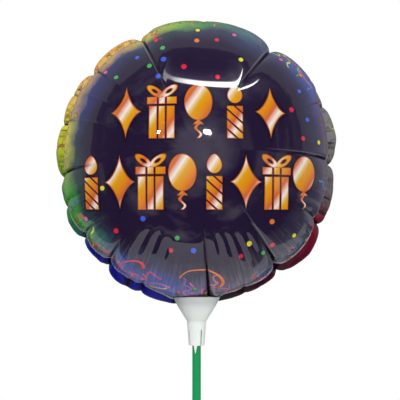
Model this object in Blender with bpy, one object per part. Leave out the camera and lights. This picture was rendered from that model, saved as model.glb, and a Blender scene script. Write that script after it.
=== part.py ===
"""A round foil balloon on a moulded cup and a stick, filled with air.

Metres, +Z up. The origin is the middle of the stick's lower end, and the stick stands on the Z axis.
The balloon's front looks along -Y. Two films are welded together round their rims. Their necks
and a flat two-ply valve go down into the cup, whose slit socket grips the stick.
"""

import math
from collections import Counter, namedtuple

import bmesh
import bpy
import numpy as np

# Stick: a plain plastic tube.
STICK_LENGTH = 0.300
STICK_RADIUS = 0.00275
STICK_WALL = 0.0007
STICK_SIDES = 32

# Cup: a bell-shaped funnel above a socket with slits.
RIM_RADIUS = 0.0150
FUNNEL_HEIGHT = 0.0155
CUP_WALL = 0.0010
SOCKET_TOP_RADIUS = 0.0062
SOCKET_END_RADIUS = 0.0051
SOCKET_HEIGHT = 0.0155
STICK_DEPTH = 0.0122
LEDGE_THICKNESS = 0.0012
LEDGE_WIDTH = 0.0010
SLIT_COUNT = 4
SLIT_WIDTH = 0.0010
SLIT_HEIGHT = 0.0100
SLIT_TURN = math.radians(33)
GRIP_COUNT = 8
GRIP_WIDTH = 0.0008
TONGUE_WIDTH = 0.0022
TONGUE_TIP_WIDTH = 0.0004
TONGUE_LENGTH = 0.0050
TONGUE_OFFSET = -0.0007
CUP_SIDES = 40
FUNNEL_RINGS = 7

# Balloon: two films, each bulging from the weld between them.
BALLOON_RADIUS = 0.0932
FRONT_DEPTH = 0.0465
BACK_DEPTH = 0.0480
DOME_POWER = 2.7
FILM_THICKNESS = 0.0003
WELD_WIDTH = 0.0030
SEAM_GROOVE = 0.0052
SEAM_GROOVE_SPREAD = 0.0062
SEAM_SWAY_TOP = 0.0015
SEAM_SWAY_BOTTOM = 0.0085
SEAM_SWAY_REACH = 0.0420
NECK_DRAW = 0.0050
NECK_DRAW_SPREAD = 0.0150

# Neck and valve, which stand in the funnel.
NECK_DEPTH = 0.0115
NECK_RISE = 0.0010
NECK_HALF_WIDTH = 0.0084
VALVE_THICKNESS = 0.0002
VALVE_HALF_WIDTH = 0.0060
VALVE_RISE = 0.0300

# Clearances.
TOUCH_GAP = 0.0003
STICK_CLEARANCE = 0.0001

# A crease runs inwards from the weld. Angles are in degrees round the balloon as seen from the
# front, from +X towards +Z. The reaches say how far it runs into the front and the back film.
Crease = namedtuple("Crease", "angle depth spread front_reach back_reach")
CREASES = (
    Crease(23.0, 0.0026, 0.0090, 0.032, 0.026),
    Crease(55.0, 0.0062, 0.0100, 0.066, 0.042),
    Crease(87.0, 0.0022, 0.0080, 0.024, 0.032),
    Crease(115.0, 0.0062, 0.0100, 0.062, 0.045),
    Crease(140.0, 0.0056, 0.0080, 0.036, 0.042),
    Crease(152.0, 0.0020, 0.0060, 0.022, 0.022),
    Crease(165.0, 0.0030, 0.0070, 0.028, 0.036),
    Crease(188.0, 0.0056, 0.0080, 0.040, 0.046),
    Crease(200.0, 0.0024, 0.0070, 0.022, 0.026),
    Crease(215.0, 0.0048, 0.0080, 0.034, 0.040),
    Crease(230.0, 0.0050, 0.0080, 0.038, 0.048),
    Crease(247.0, 0.0026, 0.0080, 0.024, 0.042),
    Crease(263.0, 0.0044, 0.0080, 0.026, 0.034),
    Crease(275.0, 0.0056, 0.0080, 0.064, 0.044),
    Crease(290.0, 0.0018, 0.0080, 0.022, 0.030),
    Crease(306.0, 0.0056, 0.0095, 0.062, 0.046),
    Crease(333.0, 0.0060, 0.0090, 0.038, 0.048),
    Crease(357.5, 0.0062, 0.0090, 0.058, 0.042),
)
NECK_EDGES = (263.0, 275.0)
CREASE_SOFTNESS = 0.0006

# Mesh density of the films: the sector that one column covers, and the rings from pole to weld.
COLUMN_DEGREES = 5.6
NECK_COLUMNS = 4
RINGS = (0.20, 0.36, 0.50, 0.62, 0.72, 0.81, 0.88, 0.93, 0.97, 1.0)

# Heights that follow from the sizes above.
SOCKET_END_Z = STICK_LENGTH - STICK_DEPTH
CUP_SHOULDER_Z = SOCKET_END_Z + SOCKET_HEIGHT
RIM_Z = CUP_SHOULDER_Z + FUNNEL_HEIGHT
LEDGE_Z = STICK_LENGTH + TOUCH_GAP
BORE_RADIUS = STICK_RADIUS + STICK_CLEARANCE

FRONT, BACK = -1, 1


def finish(name, base_color, roughness, metallic=0.0):
    """A plain material of one colour."""
    material = bpy.data.materials.new(name)
    material.use_nodes = True
    shader = material.node_tree.nodes["Principled BSDF"]
    shader.inputs["Base Color"].default_value = (*base_color, 1.0)
    shader.inputs["Roughness"].default_value = roughness
    shader.inputs["Metallic"].default_value = metallic
    return material


def add_object(name, mesh, material):
    """The mesh as an object of the scene."""
    mesh.materials.append(material)
    obj = bpy.data.objects.new(name, mesh)
    bpy.context.scene.collection.objects.link(obj)
    return obj


def mesh_of(name, points, faces):
    """A mesh from points and faces, smooth but for its sharp edges."""
    mesh = bpy.data.meshes.new(name)
    mesh.from_pydata([tuple(map(float, p)) for p in points], [], faces)
    mesh.validate()
    mesh.shade_smooth()
    mesh.set_sharp_from_angle(angle=math.radians(35))
    return mesh


def cutter(name, mesh):
    """A helper that a Boolean reads and that is no part of the object."""
    obj = bpy.data.objects.new(name, mesh)
    bpy.context.scene.collection.objects.link(obj)
    obj.hide_render = True
    obj.display_type = "WIRE"
    return obj


def turned(name, profile, sides):
    """A closed profile of (radius, height) points, carried once round the Z axis."""
    points = []
    for i in range(sides):
        turn = 2 * math.pi * i / sides
        points += [(r * math.cos(turn), r * math.sin(turn), z) for r, z in profile]
    count = len(profile)
    faces = []
    for i in range(sides):
        here, there = i * count, (i + 1) % sides * count
        for k in range(count):
            after = (k + 1) % count
            faces.append((here + k, there + k, there + after, here + after))
    return mesh_of(name, points, faces)


def boolean(obj, operation, other):
    """Adds a Boolean that stays live on the object."""
    modifier = obj.modifiers.new(other.name, "BOOLEAN")
    modifier.operation = operation
    modifier.object = other
    modifier.solver = "EXACT"


def prisms(name, outlines, low, high):
    """Upright prisms in one mesh, one for each outline of (x, y) corners."""
    points, faces = [], []
    for outline in outlines:
        count, first = len(outline), len(points)
        points += [(x, y, low) for x, y in outline] + [(x, y, high) for x, y in outline]
        faces.append(tuple(first + k for k in reversed(range(count))))
        faces.append(tuple(first + count + k for k in range(count)))
        for k in range(count):
            after = (k + 1) % count
            faces.append((first + k, first + after, first + count + after, first + count + k))
    return mesh_of(name, points, faces)


def radial_bar(turn, inner, outer, width):
    """The outline of a bar that points away from the Z axis. Turn 0 faces -Y."""
    along = (math.sin(turn), -math.cos(turn))
    across = (math.cos(turn), math.sin(turn))
    half = width / 2
    return [
        (reach * along[0] + side * across[0], reach * along[1] + side * across[1])
        for reach, side in ((inner, -half), (outer, -half), (outer, half), (inner, half))
    ]


# ---------------------------------------------------------------- stick


def make_stick():
    """A tube, cut square at both ends."""
    bore = STICK_RADIUS - STICK_WALL
    profile = [
        (STICK_RADIUS, 0.0),
        (STICK_RADIUS, STICK_LENGTH),
        (bore, STICK_LENGTH),
        (bore, 0.0),
    ]
    mesh = turned("stick", profile, STICK_SIDES)
    return add_object("stick", mesh, finish("stick_green", (0.02, 0.30, 0.11), 0.35))


# ---------------------------------------------------------------- cup


def funnel_radius(height):
    """The funnel's outer radius at a height above the shoulder: nearly a cone, steeper at the rim."""
    t = height / FUNNEL_HEIGHT
    share = 1.05 * t + 0.15 * t**2 - 0.20 * t**3
    return SOCKET_TOP_RADIUS + (RIM_RADIUS - SOCKET_TOP_RADIUS) * share


def socket_radius(height):
    """The socket's outer radius at a height above its end."""
    share = height / SOCKET_HEIGHT
    return SOCKET_END_RADIUS + (SOCKET_TOP_RADIUS - SOCKET_END_RADIUS) * share


def cup_inner_radius(z):
    """The radius of the space inside the funnel."""
    return funnel_radius(z - CUP_SHOULDER_Z) - CUP_WALL


def cup_profile():
    """The wall's section: up the outside, over the rim, down to the ledge and down inside the socket."""
    lip = CUP_WALL / 3
    steps = [k / FUNNEL_RINGS for k in range(FUNNEL_RINGS)]
    outside = [(funnel_radius(FUNNEL_HEIGHT * t), CUP_SHOULDER_Z + FUNNEL_HEIGHT * t) for t in steps]
    rim = [
        (RIM_RADIUS, RIM_Z - lip),
        (RIM_RADIUS - lip, RIM_Z),
        (RIM_RADIUS - CUP_WALL + lip, RIM_Z),
        (RIM_RADIUS - CUP_WALL, RIM_Z - lip),
    ]
    ledge_top = LEDGE_Z + LEDGE_THICKNESS
    first = next(t for t in steps if CUP_SHOULDER_Z + FUNNEL_HEIGHT * t > ledge_top + TOUCH_GAP)
    inside = [
        (cup_inner_radius(CUP_SHOULDER_Z + FUNNEL_HEIGHT * t), CUP_SHOULDER_Z + FUNNEL_HEIGHT * t)
        for t in reversed(steps)
        if t >= first
    ]
    ledge_hole = BORE_RADIUS - LEDGE_WIDTH
    sleeve_top = socket_radius(LEDGE_Z - SOCKET_END_Z) - CUP_WALL
    ledge = [
        (ledge_hole + LEDGE_WIDTH, ledge_top),
        (ledge_hole, ledge_top),
        (ledge_hole, LEDGE_Z),
        (sleeve_top, LEDGE_Z),
        (SOCKET_END_RADIUS - CUP_WALL, SOCKET_END_Z),
    ]
    return [(SOCKET_END_RADIUS, SOCKET_END_Z)] + outside + rim + inside + ledge


def make_cup():
    """One moulding: funnel, ledge, and a socket of four fingers with ribs that grip the stick."""
    mesh = turned("cup", cup_profile(), CUP_SIDES)
    cup = add_object("cup", mesh, finish("cup_white", (0.83, 0.86, 0.83), 0.40))

    slits = [
        radial_bar(
            SLIT_TURN + 2 * math.pi * k / SLIT_COUNT,
            BORE_RADIUS / 2,
            SOCKET_TOP_RADIUS + CUP_WALL,
            SLIT_WIDTH,
        )
        for k in range(SLIT_COUNT)
    ]
    slit_mesh = prisms("slit_cutter", slits, SOCKET_END_Z - CUP_WALL, SOCKET_END_Z + SLIT_HEIGHT)
    boolean(cup, "DIFFERENCE", cutter("slit_cutter", slit_mesh))

    sector = 2 * math.pi / GRIP_COUNT
    grips = [
        radial_bar(
            SLIT_TURN + sector * (k + 0.5),
            BORE_RADIUS,
            SOCKET_END_RADIUS - CUP_WALL / 2,
            GRIP_WIDTH,
        )
        for k in range(GRIP_COUNT)
    ]
    grip_mesh = prisms("grip_ribs", grips, SOCKET_END_Z + TOUCH_GAP, LEDGE_Z + LEDGE_THICKNESS / 2)
    boolean(cup, "UNION", cutter("grip_ribs", grip_mesh))
    boolean(cup, "UNION", cutter("tongue", tongue_mesh()))
    return cup


def tongue_mesh():
    """A pointed tongue that runs from the front finger down the stick."""
    top = SOCKET_END_Z + 2 * CUP_WALL
    tip = SOCKET_END_Z - TONGUE_LENGTH
    front = SOCKET_END_RADIUS - CUP_WALL / 4
    back = STICK_RADIUS + TOUCH_GAP
    tip_front = back + CUP_WALL / 2
    rows = (
        (top, TONGUE_WIDTH, front),
        (SOCKET_END_Z, TONGUE_WIDTH, front),
        (tip, TONGUE_TIP_WIDTH, tip_front),
    )
    points = []
    for z, width, out in rows:
        left, right = TONGUE_OFFSET - width / 2, TONGUE_OFFSET + width / 2
        points += [(left, -out, z), (right, -out, z), (right, -back, z), (left, -back, z)]
    faces = [(0, 1, 2, 3), (11, 10, 9, 8)]
    for row in (0, 4):
        for k in range(4):
            after = (k + 1) % 4
            faces.append((row + k, row + 4 + k, row + 4 + after, row + after))
    return mesh_of("tongue", points, faces)


# ---------------------------------------------------------------- films


def dome_depth(side):
    """How deep the dome is on that side of the weld."""
    return FRONT_DEPTH if side == FRONT else BACK_DEPTH


def dome_point(ring, side):
    """(radius, depth) on the smooth dome. Ring runs from 0 at the pole to 1 at the weld."""
    swing = ring * np.pi / 2
    return (
        BALLOON_RADIUS * np.sin(swing) ** (2 / DOME_POWER),
        dome_depth(side) * np.cos(swing),
    )


def dome_normal(radius, depth, side):
    """The dome's outward direction as (radial, depth) parts, from (r/R)^p + (d/D)^2 = 1."""
    radial = DOME_POWER * (radius / BALLOON_RADIUS) ** (DOME_POWER - 1) / BALLOON_RADIUS
    deep = 2 * depth / dome_depth(side) ** 2
    size = np.hypot(radial, deep)
    return radial / size, deep / size


def length_to_weld(ring, side):
    """The length of film from that ring out to the weld."""
    fine = np.linspace(0, 1, 400)
    radius, depth = dome_point(fine, side)
    steps = np.hypot(np.diff(radius), np.diff(depth))
    travelled = np.concatenate([[0], np.cumsum(steps)])
    return travelled[-1] - np.interp(ring, fine, travelled)


def smooth_fade(share):
    """1 at share 0 and 0 from share 1 on, with level ends."""
    t = np.clip(share, 0, 1)
    return 1 - t * t * (3 - 2 * t)


def turn_between(angle, other):
    """The signed turn from one angle to another, the short way."""
    return (angle - other + np.pi) % (2 * np.pi) - np.pi


def crease_dip(angle, radius, to_weld, side):
    """How far the creases draw the film in: sharp valleys that fade inwards from the weld."""
    dip = np.zeros(np.broadcast(angle, radius).shape)
    for crease in CREASES:
        reach = crease.front_reach if side == FRONT else crease.back_reach
        across = radius * turn_between(angle, math.radians(crease.angle))
        soft = np.sqrt(across**2 + CREASE_SOFTNESS**2) - CREASE_SOFTNESS
        dip = dip + crease.depth * smooth_fade(to_weld / reach) * np.exp(-soft / crease.spread)
    return dip + NECK_DRAW * smooth_fade(to_weld / SEAM_SWAY_REACH) * nearness_to_neck(angle, radius)


def nearness_to_neck(angle, radius):
    """1 over the neck, and less to either side of it."""
    across = radius * turn_between(angle, math.radians(sum(NECK_EDGES) / 2))
    return np.exp(-((across / NECK_DRAW_SPREAD) ** 2))


def seam_sway(angle):
    """How far forward the weld wanders between two creases, most at the bottom but for the neck."""
    radius = np.full_like(angle, BALLOON_RADIUS)
    crease = crease_dip(angle, radius, np.zeros_like(angle), FRONT)
    fullness = np.clip(1 - crease / max(c.depth for c in CREASES), 0, 1)
    fullness = fullness * (1 - nearness_to_neck(angle, radius))
    low = (1 - np.sin(angle)) / 2
    return fullness * (SEAM_SWAY_TOP + (SEAM_SWAY_BOTTOM - SEAM_SWAY_TOP) * low)


def film_point(angle, ring, side):
    """A point of the film's outside, from the balloon's middle: the dome less its creases."""
    radius, depth = dome_point(ring, side)
    to_weld = length_to_weld(ring, side)
    radial, deep = dome_normal(radius, depth, side)
    groove = SEAM_GROOVE * np.exp(-to_weld / SEAM_GROOVE_SPREAD)
    dip = crease_dip(angle, radius, to_weld, side) + groove
    sway = seam_sway(angle) * smooth_fade(to_weld / SEAM_SWAY_REACH)
    out = radius - dip * radial
    y = side * (depth - dip * deep) - sway
    return np.stack([out * np.cos(angle), y, out * np.sin(angle)], axis=-1)


def column_angles():
    """Angles of the film's columns: one on each crease, and others between them."""
    marks = [crease.angle for crease in CREASES]
    angles = []
    for here, there in zip(marks, marks[1:] + [marks[0] + 360]):
        cells = max(2, round((there - here) / COLUMN_DEGREES))
        if here == NECK_EDGES[0]:
            cells = NECK_COLUMNS
        angles += [here + (there - here) * k / cells for k in range(cells)]
    return np.radians(angles)


def seat_drop():
    """How far the balloon's middle stands above the cup's rim, so that films and weld rest on it."""
    angle, ring = np.meshgrid(np.radians(np.linspace(245, 295, 201)), np.linspace(0.6, 1, 121))
    lowest = 0.0
    for side in (FRONT, BACK):
        film = film_point(angle, ring, side)
        weld = film[-1] + radial_directions(angle[-1]) * WELD_WIDTH
        for points in (film, weld):
            inside = np.hypot(points[..., 0], points[..., 1]) < RIM_RADIUS + TOUCH_GAP
            lowest = min(lowest, points[..., 2][inside].min())
    return TOUCH_GAP - lowest + FILM_THICKNESS


def radial_directions(angle):
    """The direction away from the balloon's middle at each angle round it."""
    return np.stack([np.cos(angle), np.zeros_like(angle), np.sin(angle)], axis=-1)


def shell_mesh(name, outer, inner, faces):
    """A closed wall between two like sheets of points, with sides along their open edges."""
    count = len(outer)
    wall = list(faces) + [tuple(count + k for k in reversed(face)) for face in faces]
    used = Counter()
    for face in faces:
        used.update(zip(face, face[1:] + face[:1]))
    for a, b in list(used):
        if (b, a) not in used:
            wall.append((b, a, count + a, count + b))
    mesh = bpy.data.meshes.new(name)
    mesh.from_pydata([tuple(map(float, p)) for p in [*outer, *inner]], [], wall)
    mesh.validate()
    work = bmesh.new()
    work.from_mesh(mesh)
    bmesh.ops.triangulate(work, faces=work.faces, quad_method="SHORT_EDGE")
    bmesh.ops.recalc_face_normals(work, faces=work.faces)
    work.to_mesh(mesh)
    work.free()
    mesh.shade_smooth()
    mesh.set_sharp_from_angle(angle=math.radians(35))
    return mesh


def neck_rows(middle_z):
    """(height, half width) down the neck, from below the weld to its open end in the funnel."""
    rows = []
    end_z = RIM_Z - NECK_DEPTH
    plies = 2 * (FILM_THICKNESS + VALVE_THICKNESS) + 1.5 * TOUCH_GAP
    for z in (RIM_Z + NECK_RISE, RIM_Z - NECK_DEPTH * 0.35, RIM_Z - NECK_DEPTH * 0.7, end_z):
        room = math.sqrt((cup_inner_radius(min(z, RIM_Z)) - TOUCH_GAP) ** 2 - plies**2)
        rows.append((z - middle_z, min(NECK_HALF_WIDTH, room)))
    return rows


def make_film(name, side, middle_z, material):
    """One film: a creased dome, its half of the weld, and its half of the neck, as one thin wall."""
    angles = column_angles()
    columns = len(angles)
    ply = TOUCH_GAP / 2 + FILM_THICKNESS
    outward = np.array([0.0, side, 0.0])

    rings = [film_point(angles, np.full(columns, ring), side) for ring in RINGS]
    pole = film_point(np.array([0.0]), np.array([0.0]), side)
    sheet = np.concatenate([pole, *rings]) + outward * ply

    def at(row, column):
        return 1 + row * columns + column % columns

    faces = [(0, at(0, j), at(0, j + 1)) for j in range(columns)]
    for row in range(len(RINGS) - 1):
        faces += [
            (at(row, j), at(row + 1, j), at(row + 1, j + 1), at(row, j + 1)) for j in range(columns)
        ]

    weld_in = rings[-1]
    weld_out = weld_in + radial_directions(angles) * WELD_WIDTH
    edges = np.radians(NECK_EDGES)
    in_neck = np.flatnonzero((angles > edges[0] - 1e-6) & (angles < edges[1] + 1e-6))
    spread = np.linspace(-1, 1, len(in_neck))
    plies = TOUCH_GAP + VALVE_THICKNESS
    for k, column in enumerate(in_neck):
        weld_out[column] = neck_point(neck_rows(middle_z)[0], spread[k])
    sheet = np.concatenate([sheet, weld_out + outward * ply])
    seam_row = len(RINGS) - 1
    faces += [
        (at(seam_row, j), at(seam_row + 1, j), at(seam_row + 1, j + 1), at(seam_row, j + 1))
        for j in range(columns)
    ]

    above = [at(seam_row + 1, column) for column in in_neck]
    for row in neck_rows(middle_z)[1:]:
        below = [len(sheet) + k for k in range(len(in_neck))]
        sheet = np.concatenate([sheet, [neck_point(row, s) + outward * ply for s in spread]])
        faces += [
            (above[k], below[k], below[k + 1], above[k + 1]) for k in range(len(in_neck) - 1)
        ]
        above = below

    # The films part over the whole neck, and the valve passes between them.
    neck = [at(row, column) for row in (seam_row, seam_row + 1) for column in in_neck]
    neck += range(1 + (len(RINGS) + 1) * columns, len(sheet))
    sheet[neck, 1] += side * plies

    if side == BACK:
        faces = [face[::-1] for face in faces]
    normals = sheet_normals(sheet, faces)
    inner = sheet - normals * FILM_THICKNESS
    flat = np.arange(1 + len(RINGS) * columns, len(sheet))
    inner[flat] = sheet[flat] - outward * FILM_THICKNESS
    seam = np.arange(1 + seam_row * columns, 1 + len(RINGS) * columns)
    inner[seam] = sheet[seam] - outward * FILM_THICKNESS
    mesh = shell_mesh(name, sheet, inner, faces)
    film = add_object(name, mesh, material)
    film.location.z = middle_z
    return film


def neck_point(row, share):
    """A point of the neck's middle sheet, from the balloon's middle."""
    z, half = row
    return np.array([half * share, 0.0, z])


def sheet_normals(points, faces):
    """The direction out of the sheet at each point, from the faces round it."""
    normals = np.zeros_like(points)
    for face in faces:
        a, b, c = (points[k] for k in face[:3])
        direction = np.cross(b - a, c - a)
        for k in face:
            normals[k] += direction
    return normals / np.linalg.norm(normals, axis=1, keepdims=True)


# ---------------------------------------------------------------- valve


def make_valve_ply(name, side, middle_z, material):
    """One flat ply of the valve, which hangs in the neck and stands up inside the balloon."""
    rows = [(z, min(half, VALVE_HALF_WIDTH)) for z, half in neck_rows(middle_z)]
    top = rows[0][0] + VALVE_RISE
    rows = [(top, VALVE_HALF_WIDTH * 0.7), (top - VALVE_RISE / 2, VALVE_HALF_WIDTH)] + rows
    shares = (-1.0, 0.0, 1.0)
    outward = np.array([0.0, side, 0.0])
    gap = outward * TOUCH_GAP / 2
    inner = np.array([neck_point((z, half - TOUCH_GAP), s) + gap for z, half in rows for s in shares])
    outer = inner + outward * VALVE_THICKNESS
    wide = len(shares)
    faces = []
    for row in range(len(rows) - 1):
        for k in range(wide - 1):
            first = row * wide + k
            faces.append((first, first + wide, first + wide + 1, first + 1))
    if side == BACK:
        faces = [face[::-1] for face in faces]
    ply = add_object(name, shell_mesh(name, outer, inner, faces), material)
    ply.location.z = middle_z
    return ply


def main():
    """Clears the scene and makes the six pieces."""
    for obj in list(bpy.data.objects):
        bpy.data.objects.remove(obj)
    middle_z = RIM_Z + seat_drop()
    make_stick()
    make_cup()
    front_print = finish("front_print", (0.035, 0.025, 0.075), 0.15, 0.3)
    back_print = finish("back_print", (0.035, 0.025, 0.075), 0.15, 0.3)
    make_film("front_film", FRONT, middle_z, front_print)
    make_film("back_film", BACK, middle_z, back_print)
    clear = finish("valve_clear", (0.75, 0.78, 0.80), 0.25)
    make_valve_ply("valve_front_ply", FRONT, middle_z, clear)
    make_valve_ply("valve_back_ply", BACK, middle_z, clear)


main()
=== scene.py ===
"""A round foil balloon on a moulded cup and a stick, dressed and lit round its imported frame."""

import logging
import math
from collections.abc import Callable, Iterable, Mapping, Sequence
from dataclasses import dataclass, field
from enum import Enum
from typing import Any, Union

import bpy
import numpy as np
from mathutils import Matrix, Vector


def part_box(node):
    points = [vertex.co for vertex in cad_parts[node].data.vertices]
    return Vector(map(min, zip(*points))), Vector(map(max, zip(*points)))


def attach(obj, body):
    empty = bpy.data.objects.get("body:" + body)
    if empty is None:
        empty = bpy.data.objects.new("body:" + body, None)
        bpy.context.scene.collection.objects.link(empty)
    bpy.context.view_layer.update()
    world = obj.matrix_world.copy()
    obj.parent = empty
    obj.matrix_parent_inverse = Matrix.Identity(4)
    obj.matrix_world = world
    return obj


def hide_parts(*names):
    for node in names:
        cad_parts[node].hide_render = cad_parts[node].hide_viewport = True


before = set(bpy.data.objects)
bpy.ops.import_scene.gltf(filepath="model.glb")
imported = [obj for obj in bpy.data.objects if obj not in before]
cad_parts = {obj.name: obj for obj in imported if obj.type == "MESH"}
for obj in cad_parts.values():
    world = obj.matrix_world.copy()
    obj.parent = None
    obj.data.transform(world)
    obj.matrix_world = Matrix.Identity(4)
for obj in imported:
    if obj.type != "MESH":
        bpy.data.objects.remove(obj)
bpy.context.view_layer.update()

LOG = logging.getLogger("balloon")
MM = 0.001
TAU = 2 * math.pi
STICK_IN_SOCKET = 12.2 * MM
SHOULDER_OVER_END = 15.5 * MM
MIDDLE_OVER_RIM = 90.2 * MM
RED, ORANGE, YELLOW = (0.72, 0.02, 0.05), (0.85, 0.20, 0.03), (0.78, 0.72, 0.04)
GREEN, BLUE, PINK = (0.06, 0.42, 0.09), (0.05, 0.12, 0.72), (0.78, 0.10, 0.32)
HALO, COPPER, BROWN = (0.008, 0.004, 0.014), (0.50, 0.10, 0.02), (0.055, 0.018, 0.016)
# Painted light in the print: a pale grey for painted reflection streaks, a paler grey for the painted
# highlight beside the deepest folds, and a near black for painted shade in the folds.
PAINTED_REFLECTION_PALE, PAINTED_FOLD_HIGHLIGHT, PAINTED_FOLD_SHADE = (0.55, 0.55, 0.56), (0.62, 0.62, 0.66), (0.010, 0.007, 0.016)

Colour = tuple[float, float, float]


# ---------------------------------------------------------------- shader maths


class Signal:
    """What one output socket carries. Arithmetic on numbers adds Math nodes to its shader."""

    def __init__(self, shader: "Shader", socket: bpy.types.NodeSocket) -> None:
        """Wraps a socket of that shader."""
        self.shader = shader
        self.socket = socket

    def math(self, operation: str, *others: "Operand", clamp: bool = False) -> "Signal":
        """One Math node: this signal first, then the others. Clamp holds the result between 0 and 1."""
        inputs = dict(enumerate((self, *others)))
        return self.shader.node("ShaderNodeMath", {"operation": operation, "use_clamp": clamp}, inputs)

    def __add__(self, other: "Operand") -> "Signal":
        """Sum."""
        return self.math("ADD", other)

    __radd__ = __add__

    def __mul__(self, other: "Operand") -> "Signal":
        """Product."""
        return self.math("MULTIPLY", other)

    __rmul__ = __mul__

    def __sub__(self, other: "Operand") -> "Signal":
        """Difference."""
        return self.math("SUBTRACT", other)

    def __rtruediv__(self, other: "Operand") -> "Signal":
        """Quotient, with this signal as the divisor."""
        return (self**-1) * other

    def __rsub__(self, other: "Operand") -> "Signal":
        """Difference, with this signal taken away."""
        return (self * -1) + other

    def __truediv__(self, other: "Operand") -> "Signal":
        """Quotient."""
        return self.math("DIVIDE", other)

    def __pow__(self, other: "Operand") -> "Signal":
        """Power."""
        return self.math("POWER", other)

    def __abs__(self) -> "Signal":
        """Size without sign."""
        return self.math("ABSOLUTE")

    def least(self, other: "Operand") -> "Signal":
        """The smaller of the two."""
        return self.math("MINIMUM", other)

    def most(self, other: "Operand") -> "Signal":
        """The larger of the two."""
        return self.math("MAXIMUM", other)

    def below(self, edge: float, soft: float) -> "Signal":
        """1 where the signal is under an edge, with a linear step of that width round it."""
        return self.math("MULTIPLY_ADD", -1 / soft, edge / soft + 0.5, clamp=True)

    def above(self, edge: float, soft: float) -> "Signal":
        """1 where the signal is over an edge, with a linear step of that width round it."""
        return self.math("MULTIPLY_ADD", 1 / soft, 0.5 - edge / soft, clamp=True)


Operand = Union[Signal, float]


class Shader:
    """A material or world whose nodes are added one by one."""

    def __init__(self, tree: bpy.types.NodeTree) -> None:
        """Starts on a tree with no nodes."""
        self.tree = tree
        tree.nodes.clear()

    def node(
        self, kind: str, settings: Mapping[str, Any] | None = None, inputs: Mapping[Any, Any] | None = None,
        output: int | str = 0,
    ) -> Signal:
        """Adds one node.

        Args:
            kind: Blender's name for the node's type.
            settings: its properties, set first. "stops" fills a ramp with (position, colour) pairs.
            inputs: values or signals for its sockets, by name or number.
            output: which of its outputs is wanted.

        Returns:
            That output.
        """
        node = self.tree.nodes.new(kind)
        for key, value in (settings or {}).items():
            if key == "stops":
                self.fill_ramp(node.color_ramp, value)
            else:
                setattr(node, key, value)
        for key, value in (inputs or {}).items():
            if isinstance(value, Signal):
                self.tree.links.new(value.socket, node.inputs[key])
            elif node.inputs[key].type == "RGBA" and len(value) == 3:
                node.inputs[key].default_value = (*value, 1.0)
            else:
                node.inputs[key].default_value = value
        return Signal(self, node.outputs[output]) if node.outputs else Signal(self, None)

    @staticmethod
    def fill_ramp(ramp: bpy.types.ColorRamp, stops: Sequence[tuple[float, Colour]]) -> None:
        """Gives a ramp its stops, in order of position.

        Args:
            ramp: the ramp, with its two first stops.
            stops: (position, colour) pairs.
        """
        while len(ramp.elements) < len(stops):
            ramp.elements.new(1.0)
        for element, (position, colour) in zip(ramp.elements, stops):
            element.position = position
            element.color = (*colour, 1.0)

    def ramp(self, factor: Signal, stops: Sequence[tuple[float, Colour]]) -> Signal:
        """A colour ramp read at that factor."""
        return self.node("ShaderNodeValToRGB", {"stops": stops}, {0: factor})

    def mix(self, factor: Operand, low: Any, high: Any, blend: str = "MIX") -> Signal:
        """A colour between two, by a factor."""
        settings = {"data_type": "RGBA", "blend_type": blend}
        return self.node("ShaderNodeMix", settings, {0: factor, 6: low, 7: high}, 2)

    def vector(self, operation: str, first: Any, second: Any = None) -> Signal:
        """One Vector Math node.

        Args:
            operation: the Vector Math node's operation.
            first: its first input.
            second: its second input, if it has one.

        Returns:
            The vector, or the number that it gives.
        """
        inputs = {0: first} if second is None else {0: first, 1: second}
        output = "Value" if operation in ("DISTANCE", "LENGTH", "DOT_PRODUCT") else 0
        return self.node("ShaderNodeVectorMath", {"operation": operation}, inputs, output)

    def join(self, x: Operand, y: Operand, z: Operand = 0.0) -> Signal:
        """A vector from three numbers."""
        return self.node("ShaderNodeCombineXYZ", {}, {0: x, 1: y, 2: z})

    def split(self, vector: Signal) -> tuple[Signal, Signal, Signal]:
        """A vector's three numbers.

        Args:
            vector: the vector.

        Returns:
            Its three numbers as signals.
        """
        first = self.node("ShaderNodeSeparateXYZ", {}, {0: vector})
        outputs = first.socket.node.outputs
        return tuple(Signal(self, outputs[k]) for k in range(3))

    def noise(self, vector: Signal, scale: float, detail: float = 2.0, roughness: float = 0.5) -> Signal:
        """Noise about 0.5."""
        inputs = {"Vector": vector, "Scale": scale, "Detail": detail, "Roughness": roughness}
        return self.node("ShaderNodeTexNoise", {}, inputs)

    def place(self) -> Signal:
        """The object's own coordinates, in metres."""
        return self.node("ShaderNodeTexCoord", {}, {}, "Object")

    def bump(self, height: Signal, strength: float, distance: float) -> Signal:
        """A normal from a height."""
        inputs = {"Height": height, "Strength": strength, "Distance": distance}
        return self.node("ShaderNodeBump", {}, inputs)


class Stencil:
    """A drawing step kept as a node group: built once, then laid many times with numbers of its own."""

    def __init__(
        self, name: str, inputs: Mapping[str, str], draw: Callable[..., Signal], result: str = "Color",
    ) -> None:
        """Builds the group.

        Args:
            name: the group's name.
            inputs: its inputs' names and kinds (Color, Vector or Float).
            draw: makes the group's result from its shader and its inputs' signals.
            result: the result's kind.
        """
        self.tree = bpy.data.node_groups.new(name, "ShaderNodeTree")
        shader = Shader(self.tree)
        for label, kind in inputs.items():
            self.tree.interface.new_socket(label, in_out="INPUT", socket_type=f"NodeSocket{kind}")
        self.tree.interface.new_socket("Result", in_out="OUTPUT", socket_type=f"NodeSocket{result}")
        outputs = shader.node("NodeGroupInput").socket.node.outputs
        signals = [Signal(shader, outputs[label]) for label in inputs]
        shader.node("NodeGroupOutput", {}, {0: draw(shader, *signals)})

    def lay(self, shader: Shader, *values: Any) -> Signal:
        """Adds the group to a shader with these inputs, and returns its result."""
        return shader.node("ShaderNodeGroup", {"node_tree": self.tree}, dict(enumerate(values)))


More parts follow.
